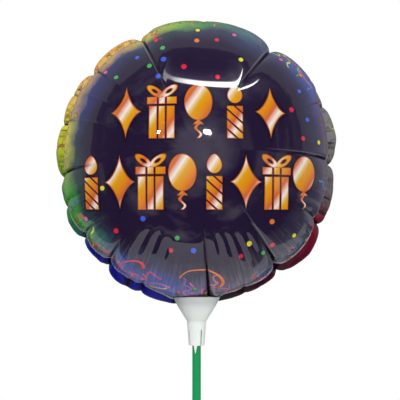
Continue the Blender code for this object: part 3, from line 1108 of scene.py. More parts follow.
LOOPS = tuple(Loop(*row) for row in (
    (-46, -74, 24, 11.0, 1.9, 0.25, 0.95, RED),
    (-68, -64, -28, 8.0, 1.6, 0.20, 0.80, RED),
    (-80, -44, 52, 6.5, 1.5, 0.30, 0.70, RED),
    (-30, -90, 8, 9.0, 2.1, 0.10, 0.80, (0.72, 0.10, 0.12)),
    (2, -82, -8, 14.5, 1.5, 0.15, 0.95, ORANGE),
    (46, -82, 32, 10.0, 2.3, 0.10, 0.75, (0.10, 0.25, 0.62)),
    (74, -62, 44, 6.0, 1.9, 0.15, 0.55, (0.12, 0.36, 0.52)),
    (84, 62, 118, 5.0, 1.8, 0.20, 0.55, (0.80, 0.45, 0.10)),
    (-46, 90, 200, 7.0, 2.0, 0.20, 0.55, (0.30, 0.10, 0.03)),
    (-90, 48, 240, 5.5, 1.7, 0.20, 0.55, GREEN),
))


@dataclass(frozen=True)
class RowOfFigures:
    """A row of gold figures on the flat film: how many, and in millimetres how far apart and how high."""

    count: int
    pitch: float
    middle: float


def draw_dot(s: Shader, nearest: Signal, flat: Signal, place: Signal, size: Signal) -> Signal:
    """The distance to the edge of the nearest dot so far, or of one more dot if that is nearer."""
    return nearest.least(s.vector("DISTANCE", flat, place) - size)


def own_axes(s: Shader, flat: Signal, place: Signal, turn: Signal) -> tuple[Signal, Signal]:
    """A point's two coordinates along and across a heading, from a place.

    Args:
        s: the shader that gets the nodes.
        flat: the point on the flat film.
        place: where the axes start.
        turn: the heading, in radians.

    Returns:
        The coordinate along the heading, and the one across it.
    """
    away = s.vector("SUBTRACT", flat, place)
    inputs = {"Vector": away, "Angle": turn * -1}
    turned = s.node("ShaderNodeVectorRotate", {"rotation_type": "Z_AXIS"}, inputs)
    p, q, _ = s.split(turned)
    return p, q


def draw_wave(s: Shader, under: Signal, flat: Signal, place: Signal, turn: Signal, length: Signal,
              height: Signal, pitch: Signal, width: Signal, ink: Signal) -> Signal:
    """A wavy ribbon: the band |q - h sin(k p)| < width about its own axis p, h growing along it.

    Args:
        s: the shader that gets the nodes.
        under: the colour under the ribbon.
        flat: the point on the flat film.
        place: where the ribbon starts, or its middle.
        turn: its heading, in radians.
        length: the ribbon's length, in millimetres.
        height: the waves' full height.
        pitch: the length of one wave.
        width: half the ribbon's width.
        ink: its colour.

    Returns:
        The colour with the ribbon on it.
    """
    p, q = own_axes(s, flat, place, turn)
    along = p / length
    tall = (along * 0.6 + 0.4) * height
    k = TAU / pitch.most(0.1)
    phase = p * k
    slope = phase.math("COSINE") * tall * k
    thick = (abs(along - 0.5) * -1.5 + 1.40) * width
    off = abs(q - phase.math("SINE") * tall) / (slope * slope + 1) ** 0.5 - thick
    return s.mix(off.below(0.0, 0.35) * along.above(0.0, 0.02) * along.below(1.0, 0.02), under, ink)


def draw_loop(s: Shader, under: Signal, flat: Signal, place: Signal, turn: Signal, radius: Signal,
              squash: Signal, gap: Signal, width: Signal, ink: Signal) -> Signal:
    """An open loop of ribbon: a ring seen askew, cut off below a slanted line.

    Args:
        s: the shader that gets the nodes.
        under: the colour under the ribbon.
        flat: the point on the flat film.
        place: where the ribbon starts, or its middle.
        turn: its heading, in radians.
        radius: the loop's radius, in millimetres.
        squash: how much flatter it is across.
        gap: how far down its cut lies, in radii.
        width: half the ribbon's width.
        ink: its colour.

    Returns:
        The colour with the loop on it.
    """
    p, q = own_axes(s, flat, place, turn)
    q = q * squash
    share = p / radius
    off = abs((p * p + q * q) ** 0.5 - radius) - (share * 0.35 + 0.75) * width
    kept = (q + p * 0.3 + radius * gap).above(0.0, 0.6)
    return s.mix(off.below(0.0, 0.4) * kept, under, ink)


def cut_stencils() -> dict[str, Stencil]:
    """The drawing steps that the print lays many times.

    Returns:
        The node groups, by name.
    """
    common = {"Under": "Color", "Flat": "Vector", "Place": "Vector"}
    dot = {"Nearest": "Float", "Flat": "Vector", "Place": "Vector"}
    wave = {"Turn": "Float", "Length": "Float", "Height": "Float", "Pitch": "Float", "Width": "Float"}
    loop = {"Turn": "Float", "Radius": "Float", "Squash": "Float", "Gap": "Float", "Width": "Float"}
    return {
        "dot": Stencil("confetti_dot", {**dot, "Size": "Float"}, draw_dot, "Float"),
        "wave": Stencil("wavy_ribbon", {**common, **wave, "Ink": "Color"}, draw_wave),
        "loop": Stencil("ribbon_loop", {**common, **loop, "Ink": "Color"}, draw_loop),
    }


@dataclass
class PrintShop:
    """Draws the print of a film on its flat UV map, in millimetres from the film's middle.

    The coloured band starts and is full at those distances, and the edge is where the weld begins.
    Pale streaks of painted reflection lie lower than streak_from under the middle, and drawn motifs higher
    than curly_above. The shift moves all drawn motifs together.
    """

    finish: Finish
    flat_span: float
    stencils: Mapping[str, Stencil]
    rim_stops: Sequence[tuple[float, Colour]]
    mid_stops: Sequence[tuple[float, Colour]]
    ground: Colour = (0.0165, 0.0085, 0.034)
    band_start: float = 78.0
    band_full: float = 88.5
    edge: float = 115.3
    rim_metal: float = 0.30
    streak_from: float = 30.0
    curly_above: float = -500.0
    shift: tuple[float, float] = (1.2, -4.2)
    shader: Shader = field(init=False)

    def flat(self) -> tuple[Signal, Signal]:
        """The flat film's two coordinates, in millimetres from its middle.

        Returns:
            The two coordinates.
        """
        uv = self.shader.node("ShaderNodeUVMap", {"uv_map": "flat_film"})
        span = 2 * self.flat_span / MM
        u, v, _ = self.shader.split(uv)
        return (u - 0.5) * span, (v - 0.5) * span

    def confetti(self, colour: Signal, flat: Signal) -> Signal:
        """Lays the confetti, by the distance to the nearest dot of each ink, with a dark halo.

        Args:
            colour: what lies under it.
            flat: the point on the flat film.

        Returns:
            The colour with the confetti on it.
        """
        for ink, dots in CONFETTI.items():
            nearest: Operand = 1000.0
            for dot in dots:
                nearest = self.stencils["dot"].lay(self.shader, nearest, flat, (dot.x, dot.y, 0.0), dot.size)
            colour = self.shader.mix(nearest.below(0.8, 1.4) * 0.6, colour, self.ground)
            colour = self.shader.mix(nearest.below(0.0, 0.5), colour, ink)
        return colour

    def streamers(self, colour: Signal, flat: Signal) -> Signal:
        """Lays the streamers over a colour.

        Args:
            colour: what lies under it.
            flat: the point on the flat film.

        Returns:
            The colour with the streamers on it.
        """
        for item in STREAMERS:
            start, heading = (item.x, item.y, 0.0), math.radians(item.heading)
            values = (start, heading, item.length, item.height, item.pitch, item.width, item.colour)
            colour = self.stencils["wave"].lay(self.shader, colour, flat, *values)
        return colour

    def loops(self, colour: Signal, flat: Signal) -> Signal:
        """Lays the open ribbon loops over a colour.

        Args:
            colour: what lies under it.
            flat: the point on the flat film.

        Returns:
            The colour with the loops on it.
        """
        for loop in LOOPS:
            start, heading = (loop.x, loop.y, 0.0), math.radians(loop.heading)
            values = (start, heading, loop.radius, loop.squash, loop.open, loop.width, loop.colour)
            colour = self.stencils["loop"].lay(self.shader, colour, flat, *values)
        return colour

    def curls(self, colour: Signal, x: Signal, y: Signal, reach: Signal, cells: int, middle: float,
              half: float) -> Signal:
        """Lays one curl of paper ribbon in each of many sectors of a ring.

        In its sector a curl is |u - h sin(2 pi v / pitch + phase)| < width, u round the balloon and v
        outwards. Its phase, height, place and ink are random.

        Args:
            colour: what lies under the curls.
            x: the flat film's first coordinate, in millimetres.
            y: the second.
            reach: the distance from the film's middle.
            cells: how many sectors there are.
            middle: the distance from the film's middle at which the curls lie.
            half: half their length, outwards.

        Returns:
            The colour with the curls on it.
        """
        s = self.shader
        place = (y.math("ARCTAN2", x) * (1 / TAU) + 0.5) * cells
        number = place.math("FLOOR")
        dice = s.node("ShaderNodeTexWhiteNoise", {"noise_dimensions": "1D"}, {"W": number + middle}, "Color")
        one, two, three = s.split(dice)
        u = (place - number - 0.5) * reach * (TAU / cells) + (two - 0.5) * 4
        v = reach - middle + (three - 0.5) * 8
        lean = u + v * (one - 0.5) * 1.6
        phase = v * (TAU / 10) + one * 2 * math.pi
        height = two * 2.2 + 0.9
        slope = phase.math("COSINE") * height * (TAU / 10)
        off = abs(lean - phase.math("SINE") * height) / (slope * slope + 1) ** 0.5 - (three * 0.25 + 0.28)
        within = abs(v).below(half, 0.4)
        ink = s.node("ShaderNodeValToRGB", {"stops": CURL_INKS}, {0: three})
        ink.socket.node.color_ramp.interpolation = "CONSTANT"
        return s.mix(off.below(0.0, 0.35) * within, colour, ink)

    def rainbow(self, x: Signal, y: Signal, flat: Signal) -> tuple[Signal, Signal]:
        """The ground colour with its coloured rim, and the distance from the middle.

        The rim's colour is read round the balloon, and an inner band's colour leads over to the ground.

        Args:
            x: the flat film's first coordinate, in millimetres from its middle.
            y: the second.
            flat: the point on the flat film.

        Returns:
            The colour, and the distance.
        """
        s = self.shader
        reach = s.vector("LENGTH", flat)
        turn = y.math("ARCTAN2", x) * (1 / TAU) + 0.5
        wobble = s.noise(flat, 0.045, 3.0)
        uneven = (wobble - 0.5) * 24 + reach
        inner = s.mix(uneven.above(self.band_start, 14), self.ground, s.ramp(turn, self.mid_stops))
        mask = ((wobble - 0.5) * 22 + reach).above(self.band_full, 14)
        return s.mix(mask, inner, s.ramp(turn, self.rim_stops)), reach

    def crinkle(self, x: Signal, y: Signal, reach: Signal) -> Signal:
        """A fine bump: radial creasing that grows towards the weld, and a faint all-over grain.

        Args:
            x: the flat film's first coordinate, in millimetres from its middle.
            y: the second.
            reach: the distance from the film's middle.

        Returns:
            The height that the bump follows.
        """
        s = self.shader
        safe = reach.most(1.0)
        streak = s.noise(s.join(x / safe * 30, y / safe * 30, reach * 0.035), 1.0, 4.0, 0.65)
        grain = s.noise(s.join(x, y), 0.35, 2.0)
        near = reach.above(76, 56)
        return abs(streak - 0.5) * near * 3.4 + (grain - 0.5) * 0.10

    def fold(self) -> Signal:
        """The fold lines that the film's points carry."""
        return self.shader.node("ShaderNodeAttribute", {"attribute_name": "fold"}, {}, "Fac")

    def outlines_and_painted_light(self, colour: Signal, x: Signal, y: Signal, reach: Signal) -> Signal:
        """Brown printed outlines, then painted light: pale and dark streaks near the rim that paint a
        reflection of the floor, strongest at the bottom, painted shade in the folds' bottoms, and a painted
        highlight beside the deepest folds.

        The outlines are the places near the rim where a slow noise crosses its middle value.

        Args:
            colour: what lies under it.
            x: the flat film's first coordinate, in millimetres from its middle.
            y: the second.
            reach: the distance from the film's middle.

        Returns:
            The colour with the lines on it.
        """
        s = self.shader
        level = s.noise(s.join(x, y), 0.065, 2.5)
        outline = abs(level - 0.5).below(0.006, 0.012) * reach.above(88, 8) * 0.75
        colour = s.mix(outline, colour, BROWN)
        safe = reach.most(1.0)
        # Painted reflection: pale and dark radial streaks near the rim, strongest low on the film, where the
        # floor is mirrored.
        fine = s.noise(s.join(x / safe * 58, y / safe * 58, reach * 0.05 + 7), 1.0, 3.0, 0.7)
        low = (y * -1).above(self.streak_from, 50)
        pale = fine.above(0.58, 0.16) * reach.above(84, 34) * low * 0.20
        colour = s.mix(pale, colour, PAINTED_REFLECTION_PALE)
        dark = fine.below(0.40, 0.14) * reach.above(92, 26) * (low * 0.35 + 0.15)
        colour = s.mix(dark, colour, s.mix(0.8, colour, (0.01, 0.008, 0.02)))
        # Painted highlight beside the deepest folds, and painted shade in the bottom of every fold.
        fold = self.fold()
        colour = s.mix((fold * -1).most(0.0), colour, PAINTED_FOLD_HIGHLIGHT)
        return s.mix((fold * 1.7).most(0.0).least(0.97), colour, PAINTED_FOLD_SHADE)

    def seam(self, colour: Signal, reach: Signal) -> Signal:
        """The weld: a band in a paler tone of the print, with a still paler outer edge, partly the weld's
        own tone and partly a painted highlight along the flange.

        Args:
            colour: what lies under it.
            reach: the distance from the film's middle.

        Returns:
            The colour with the weld on it.
        """
        s = self.shader
        pale = s.mix(0.25, colour, (0.50, 0.48, 0.48))
        colour = s.mix(reach.above(self.edge + 0.2, 0.4), colour, pale)
        # The paler outer edge: partly the weld's own tone, partly a painted highlight along the flange.
        return s.mix(reach.above(self.edge + 1.05, 0.3) * 0.85, colour, (0.66, 0.60, 0.60))

    def figures(self, colour: Signal, x: Signal, y: Signal) -> tuple[Signal, Signal]:
        """Lays the print's middle motif over a colour. The plain shop has none."""
        return colour, x * 0.0

    def material(self) -> bpy.types.Material:
        """The print as a material of metallised film under clear gloss.

        Returns:
            The finished material.
        """
        material, self.shader, surface = self.finish.material()
        s = self.shader
        x, y = self.flat()
        flat = s.join(x, y)
        colour, reach = self.rainbow(x, y, flat)
        plain = colour
        colour = self.curls(colour, x, y, reach, 23, 97.0, 10.0)
        colour = self.curls(colour, x, y, reach, 31, 108.0, 7.0)
        drawn_x, drawn_y = x - self.shift[0], y - self.shift[1]
        drawn = s.join(drawn_x, drawn_y)
        colour = self.streamers(colour, drawn)
        colour = self.loops(colour, drawn)
        colour = s.mix(y.above(self.curly_above, 12), plain, self.confetti(colour, drawn))
        colour, gold = self.figures(colour, drawn_x, drawn_y)
        colour = self.outlines_and_painted_light(self.seam(colour, reach), x, y, reach)
        metal = (1 - gold) * (reach.above(94, 22) * self.rim_metal + 0.12) * reach.below(self.edge, 0.4)
        # The coat thins in the folds' bottoms: painted shade that takes their reflection away.
        coat = (1 - self.fold() * 1.3).most(0.0).least(1.0) * self.finish.coat
        feed(surface, Base_Color=colour, Metallic=metal, Coat_Weight=coat)
        feed(surface, Normal=s.bump(self.crinkle(x, y, reach), 0.55, 0.4 * MM))
        return material


@dataclass
class PartyPrint(PrintShop):
    """The front's print: two rows of generic gold party figures in the middle."""

    upper: RowOfFigures = RowOfFigures(5, 22.4, 27.0)
    lower: RowOfFigures = RowOfFigures(8, 19.4, -16.5)
    half_height: float = 17.0
    gleam_turn: float = math.radians(56)
    gleam_pitch: float = 15.8

    def bar(self, x: Signal, y: Signal, low: float, high: float, width: float) -> Signal:
        """Distance, by its larger part, to an upright bar with square ends."""
        return (abs(x) - width).most(abs(y - (low + high) / 2) - (high - low) / 2)

    def candle(self, x: Signal, y: Signal) -> Signal:
        """A striped candle: a bar less slanted lines, and a flame that is a pointed oval.

        Args:
            x: the place across the figure from its middle, in millimetres.
            y: the place up it.

        Returns:
            The distance to its edge, below 0 inside.
        """
        h = self.half_height
        stripe = abs(((y + x * 0.9) * (1 / 6.2)).math("FRACT") - 0.5) * 6.2
        stick = self.bar(x, y, -h, 3.4, 4.9).most(0.55 - stripe)
        t = (y - 5.0) * (1 / (h - 5.0))
        flame = abs(x) - (t * (1 - t).most(0.0) * (1 - t * 0.5)).most(0.0) ** 0.6 * 12.5
        return stick.least(flame.most(abs(t - 0.5) * 10 - 5))

    def star(self, x: Signal, y: Signal) -> Signal:
        """A tall star of four points: |x / a|^0.68 + |y / b|^0.68 = 1."""
        level = (abs(x) * (1 / 9.9)) ** 0.68 + (abs(y) * (1 / self.half_height)) ** 0.68
        return (level - 1) * 5.6

    def gift(self, x: Signal, y: Signal) -> Signal:
        """A wrapped gift: a box under a lid, parted by two ribbon lines, with a bow of two slanted rings.

        Args:
            x: the place across the figure from its middle, in millimetres.
            y: the place up it.

        Returns:
            The distance to its edge, below 0 inside.
        """
        h = self.half_height
        ribbon = 0.45 - abs(abs(x) - 2.5)
        box = self.bar(x, y, -h, 3.4, 7.9).most(ribbon)
        lid = self.bar(x, y, 4.6, 9.2, 9.2).most(ribbon)
        wide = abs(x) - 4.4
        tall = y - 12.9 - wide * 0.55
        bow = abs((wide * wide * 0.36 + tall * tall) ** 0.5 - 2.1) - 1.05
        return box.least(lid).least(bow)

    def globe(self, x: Signal, y: Signal) -> Signal:
        """A balloon on a wavy string: an oval, a knot and the band |x - sin y| < width.

        Args:
            x: the place across the figure from its middle, in millimetres.
            y: the place up it.

        Returns:
            The distance to its edge, below 0 inside.
        """
        h = self.half_height
        wide, tall = x * (1 / 8.6), (y - 5.6) * (1 / 11.4)
        oval = ((wide * wide + tall * tall) ** 0.5 - 1) * 9
        knot = (abs(x) + (y + 5.0)).most(-8.4 - y)
        string = (abs(x - (y * 0.75).math("SINE") * 1.6) - 0.95).most(abs(y + (h + 7) / 2) - (h - 7) / 2)
        return oval.least(knot).least(string)

    def figures(self, colour: Signal, x: Signal, y: Signal) -> tuple[Signal, Signal]:
        """Two rows of figures that take turns: candle, star, gift, balloon.

        A figure's own x runs from its middle, and its number picks its kind. Gold shades over to
        orange and a pale gleam along slanted bands.

        Args:
            colour: what lies under it.
            x: the flat film's first coordinate, in millimetres from its middle.
            y: the second.

        Returns:
            The colour with the figures on it, and a mask that is 1 on them.
        """
        s = self.shader
        split = (self.upper.middle + self.lower.middle) / 2
        high = y.above(split, 0.01)
        pitch = high * (self.upper.pitch - self.lower.pitch) + self.lower.pitch
        count = high * (self.upper.count - self.lower.count) + self.lower.count
        middle = high * (self.upper.middle - self.lower.middle) + self.lower.middle
        place = x / pitch + count * 0.5
        number = place.math("FLOOR")
        inside = place.above(0.0, 0.001) * (count - place).above(0.0, 0.001)
        own_x = (place - number - 0.5) * pitch
        own_y = y - middle
        kind = (number + high * 1.0).math("FLOORED_MODULO", 4.0)
        makers = (self.candle, self.star, self.gift, self.globe)
        away = None
        for k, maker in enumerate(makers):
            other = abs(kind - float(k)).above(0.5, 0.01) * 100
            distance = maker(own_x, own_y) + other
            away = distance if away is None else away.least(distance)
        away = away + (1 - inside) * 100
        slant = x * math.sin(self.gleam_turn) - y * math.cos(self.gleam_turn)
        band = (slant * (1 / self.gleam_pitch)).math("FRACT")
        gold = s.ramp(band, GOLD_STOPS)
        colour = s.mix(away.below(1.0, 1.6) * 0.85, colour, HALO)
        colour = s.mix(away.below(0.0, 0.30), colour, COPPER)
        colour = s.mix(away.below(-0.38, 0.30), colour, gold)
        return colour, away.below(0.0, 0.4)


@dataclass
class WreathPrint(PrintShop):
    """The back's print: a ring of gold stars round the middle."""

    stars: int = 14
    ring: float = 52.0
    reach: float = 9.0

    def figures(self, colour: Signal, x: Signal, y: Signal) -> tuple[Signal, Signal]:
        """A ring of four-pointed stars: one star's form, repeated round the middle by its angle.

        Args:
            colour: what lies under it.
            x: the flat film's first coordinate, in millimetres from its middle.
            y: the second.

        Returns:
            The colour with the stars on it, and a mask that is 1 on them.
        """
        s = self.shader
        away = (x * x + y * y) ** 0.5
        turn = y.math("ARCTAN2", x) * (self.stars / TAU)
        own = (turn - (turn + 0.5).math("FLOOR")) * (TAU * self.ring / self.stars)
        out = away - self.ring
        level = (abs(own) * (1 / self.reach)) ** 0.62 + (abs(out) * (1 / self.reach)) ** 0.62
        distance = (level - 1) * 4
        gold = s.ramp((out * 0.06 + own * 0.03 + 0.5).math("FRACT"), GOLD_STOPS)
        colour = s.mix(distance.below(0.6, 1.2) * 0.8, colour, HALO)
        return s.mix(distance.below(0.0, 0.3), colour, gold), distance.below(0.0, 0.4)


CURL_INKS = (
    (0.00, RED), (0.24, ORANGE), (0.40, (0.16, 0.03, 0.02)), (0.54, PINK), (0.66, (0.06, 0.20, 0.62)),
    (0.80, YELLOW), (0.90, (0.20, 0.02, 0.10)),
)
GOLD_STOPS = (
    (0.00, (0.68, 0.29, 0.006)),
    (0.22, (0.67, 0.21, 0.010)),
    (0.42, (0.58, 0.115, 0.025)),
    (0.58, (0.76, 0.53, 0.45)),
    (0.66, (0.83, 0.75, 0.69)),
    (0.76, (0.73, 0.53, 0.25)),
    (0.88, (0.68, 0.34, 0.010)),
    (1.00, (0.68, 0.29, 0.006)),
)
LIME, GRASS, TEAL = (0.34, 0.68, 0.02), (0.05, 0.42, 0.015), (0.04, 0.22, 0.16)
SKY, VIOLET, SLATE = (0.035, 0.095, 0.48), (0.13, 0.05, 0.20), (0.06, 0.06, 0.11)
AMBER, LEMON, MAROON = (0.84, 0.50, 0.13), (0.78, 0.72, 0.030), (0.24, 0.004, 0.025)
ROYAL, DUSK = (0.004, 0.008, 0.36), (0.03, 0.02, 0.10)
FRONT_RIM = (
    (0.000, LEMON), (0.045, GRASS), (0.085, GRASS), (0.120, TEAL), (0.160, SKY), (0.215, SKY),
    (0.262, (0.14, 0.08, 0.20)), (0.310, (0.11, 0.10, 0.15)), (0.360, (0.08, 0.08, 0.12)), (0.430, SLATE),
    (0.500, (0.12, 0.08, 0.13)), (0.540, VIOLET), (0.585, SKY), (0.650, (0.05, 0.16, 0.36)),
    (0.705, TEAL), (0.740, GRASS),
    (0.775, LIME), (0.810, LEMON), (0.850, AMBER), (0.915, AMBER), (0.955, LEMON), (1.000, LEMON),
)
FRONT_MID = (
    (0.000, (0.022, 0.060, 0.050)), (0.080, (0.020, 0.060, 0.060)), (0.130, (0.030, 0.035, 0.085)),
    (0.200, (0.036, 0.040, 0.110)), (0.300, (0.044, 0.042, 0.066)), (0.480, (0.034, 0.028, 0.062)),
    (0.560, (0.028, 0.030, 0.095)), (0.640, (0.028, 0.034, 0.125)), (0.720, (0.028, 0.042, 0.105)),
    (0.790, (0.028, 0.055, 0.070)), (0.870, (0.022, 0.034, 0.140)), (0.940, (0.018, 0.028, 0.190)),
    (1.000, (0.022, 0.060, 0.060)),
)
BACK_RIM = (
    (0.000, (0.40, 0.50, 0.03)), (0.035, GRASS), (0.080, (0.03, 0.22, 0.08)), (0.112, ROYAL), (0.200, ROYAL),
    (0.240, (0.003, 0.004, 0.09)), (0.262, (0.006, 0.003, 0.02)), (0.300, (0.016, 0.002, 0.010)),
    (0.370, (0.10, 0.004, 0.020)), (0.425, MAROON), (0.450, (0.15, 0.12, 0.13)), (0.530, (0.25, 0.24, 0.23)),
    (0.565, (0.24, 0.23, 0.23)), (0.600, SLATE), (0.640, SKY), (0.740, TEAL), (0.810, AMBER),
    (0.920, AMBER), (0.960, LEMON), (1.000, (0.40, 0.50, 0.03)),
)
BACK_MID = (
    (0.000, DUSK), (0.120, ROYAL), (0.235, (0.008, 0.012, 0.20)), (0.285, (0.05, 0.004, 0.02)),
    (0.420, (0.12, 0.008, 0.03)), (0.520, DUSK), (0.750, DUSK), (0.860, (0.10, 0.03, 0.06)), (1.000, DUSK),
)


# ---------------------------------------------------------------- cup and stick


@dataclass
class Cup:
    """The moulded cup: a funnel with a rounded lip over a socket with four gripping fingers."""

    top: float
    radius: float
    shoulder: float
    end: float
    stick_radius: float
    wall: float = 1.0 * MM
    shoulder_radius: float = 6.2 * MM
    end_radius: float = 5.1 * MM
    clearance: float = 0.1 * MM
    ledge_top: float = 2.7 * MM
    slit_width: float = 0.9 * MM
    slit_height: float = 10.0 * MM
    slit_turn: float = 33.0
    sides: int = 160

    def funnel(self, t: np.ndarray) -> np.ndarray:
        """The funnel's outer radius: it grows as 1.05t + 0.15t^2 - 0.2t^3, from the shoulder to the rim."""
        share = 1.05 * t + 0.15 * t**2 - 0.20 * t**3
        return self.shoulder_radius + (self.radius - self.shoulder_radius) * share

    def profile(self) -> np.ndarray:
        """The wall's section: up the outside, round the lip, down to the ledge and inside the socket.

        Returns:
            An (n, 2) array of radii and heights.
        """
        t = np.linspace(0, 1, 22)
        height = self.top - self.shoulder
        lip = self.wall / 2
        z = self.shoulder + t * (height - lip)
        outside = np.stack([self.funnel(t), z], axis=-1)
        socket_t = np.linspace(0, 1, 10)[:-1]
        socket = np.stack([
            self.end_radius + (self.shoulder_radius - self.end_radius) * socket_t,
            self.end + (self.shoulder - self.end) * socket_t,
        ], axis=-1)
        socket[0, 0] -= 0.15 * MM
        turn = np.linspace(0, np.pi, 7)[1:-1]
        across, up = lip * np.cos(turn), lip * np.sin(turn)
        round_lip = np.stack([self.radius - lip + across, self.top - lip + up], axis=-1)
        inside = outside[::-1] - np.array([self.wall, 0.0])
        bore = self.stick_radius + self.clearance
        sleeve = self.shoulder_radius - self.wall - 0.25 * MM
        inner = np.array([
            (bore, self.shoulder - self.ledge_top + 0.9 * MM),
            (bore - 1.0 * MM, self.shoulder - self.ledge_top + 0.9 * MM),
            (bore - 1.0 * MM, self.shoulder - self.ledge_top - 0.3 * MM),
            (sleeve, self.shoulder - self.ledge_top - 0.3 * MM),
            (self.end_radius - self.wall - 0.1 * MM, self.end),
        ])
        return np.concatenate([socket, outside, round_lip, inside, inner])

    def bars(self, name: str, turns: Sequence[float], inner: float, outer: float, width: float, low: float,
             high: float) -> bpy.types.Object:
        """Upright bars that point away from the axis, one at each turn in degrees from the front.

        Args:
            name: the object's name.
            turns: the bars' turns.
            inner: where a bar starts, from the axis.
            outer: where it ends.
            width: its width.
            low: its lower end's height.
            high: its upper end's height.

        Returns:
            One object with all the bars, left out of the render.
        """
        points, faces = [], []
        box = np.array([(0, 1, 2, 3), (7, 6, 5, 4), (0, 4, 5, 1), (1, 5, 6, 2), (2, 6, 7, 3), (3, 7, 4, 0)])
        for turn in map(math.radians, turns):
            along = np.array([math.sin(turn), -math.cos(turn)])
            across = np.array([math.cos(turn), math.sin(turn)])
            corners = [(inner, -1), (outer, -1), (outer, 1), (inner, 1)]
            ring = [reach * along + side * width / 2 * across for reach, side in corners]
            faces += (box[:, ::-1] + len(points)).tolist()
            points += [(*p, z) for z in (low, high) for p in ring]
        obj = add_mesh(name, np.array(points), faces)
        obj.hide_render = True
        return obj

    def tongue(self) -> bpy.types.Object:
        """The pointed tongue under the front finger: four-cornered rings that shrink to a tip.

        Returns:
            The tongue's object, left out of the render.
        """
        offset, back = -0.7 * MM, self.stick_radius + 0.3 * MM
        t = np.linspace(0, 1, 9)[:, None]
        z = self.end + 2.0 * MM - t * 7.0 * MM
        half = 1.1 * MM * np.clip(1.35 - 1.2 * t, 0.16, 1)
        taper = 1.2 * MM * np.clip(t - 0.3, 0, 1) / 0.7
        out = np.clip(self.end_radius - 0.25 * MM - taper, back + 0.3 * MM, None)
        x = np.concatenate([offset - half, offset + half, offset + half * 0.8, offset - half * 0.8], axis=1)
        y = -np.concatenate([out, out, back + 0 * t, back + 0 * t], axis=1)
        points = np.stack([x, y, np.broadcast_to(z, x.shape)], axis=-1).reshape(-1, 3)
        faces = grid_faces(0, 9, 4, True).tolist() + [(3, 2, 1, 0), (32, 33, 34, 35)]
        obj = add_mesh("cup_tongue_tool", points, faces)
        obj.hide_render = True
        return obj

    def build(self) -> bpy.types.Object:
        """The cup: a turned wall with a rounded lip, less its slits, with ribs and tongue joined on.

        Returns:
            The cup's object.
        """
        cup = turned_mesh("moulded_cup", self.profile(), self.sides)
        turns = [self.slit_turn + 90 * k for k in range(4)]
        slits = self.bars(
            "slit_tool", turns, 1.2 * MM, 8 * MM, self.slit_width, self.end - MM,
            self.end + self.slit_height,
        )
        rib_turns = [self.slit_turn + 22.5 + 45 * k for k in range(8)]
        ribs = self.bars(
            "rib_tool", rib_turns, self.stick_radius + self.clearance, self.end_radius - self.wall / 2,
            0.8 * MM, self.end + 0.3 * MM, self.shoulder - self.ledge_top,
        )
        for tool, operation in ((slits, "DIFFERENCE"), (ribs, "UNION"), (self.tongue(), "UNION")):
            modifier = cup.modifiers.new(tool.name, "BOOLEAN")
            modifier.operation, modifier.object, modifier.solver = operation, tool, "EXACT"
            self.apply(cup)
            bpy.data.objects.remove(tool)
        return cup

    @staticmethod
    def apply(obj: bpy.types.Object) -> None:
        """Replaces an object's mesh by what its modifiers make of it.

        Args:
            obj: the object, with live modifiers.
        """
        graph = bpy.context.evaluated_depsgraph_get()
        mesh = bpy.data.meshes.new_from_object(obj.evaluated_get(graph))
        obj.modifiers.clear()
        obj.data = mesh
        mesh.shade_smooth()
        mesh.set_sharp_from_angle(angle=math.radians(38))

    def material(self) -> bpy.types.Material:
        """White moulded plastic: a mottle, a slightly darker band round the shoulder, and painted shade that
        greys the cup towards its rim, under the balloon.

        Returns:
            The finished material.
        """
        finish = Finish("cup_white_plastic", roughness=0.34, ior=1.47, subsurface=0.12)
        material, s, surface = finish.material()
        place = s.place()
        cloud = s.noise(place, 140, 3.0)
        _, _, z = s.split(place)
        high = (z - self.shoulder) / (self.top - self.shoulder)
        # A slightly darker band round the shoulder.
        shoulder_band = abs(z - (self.shoulder + 0.3 * MM)).below(0.45 * MM, 0.9 * MM)
        colour = s.mix(cloud, (0.90, 0.915, 0.845), (0.945, 0.955, 0.895))
        # Painted shade: the cup greys towards its rim, where the balloon above shades it.
        colour = s.mix(high.above(0.45, 0.60) ** 3.0 * 0.6, colour, (0.50, 0.51, 0.49))
        colour = s.mix(shoulder_band * 0.25, colour, (0.66, 0.69, 0.66))
        feed(surface, Base_Color=colour, Roughness=s.noise(place, 420, 2.0) * 0.14 + 0.28)
        grain = s.noise(place, 2600, 2.0) + s.noise(place, 210, 2.0) * 1.5
        feed(surface, Normal=s.bump(grain, 0.10, 0.12 * MM))
        return material


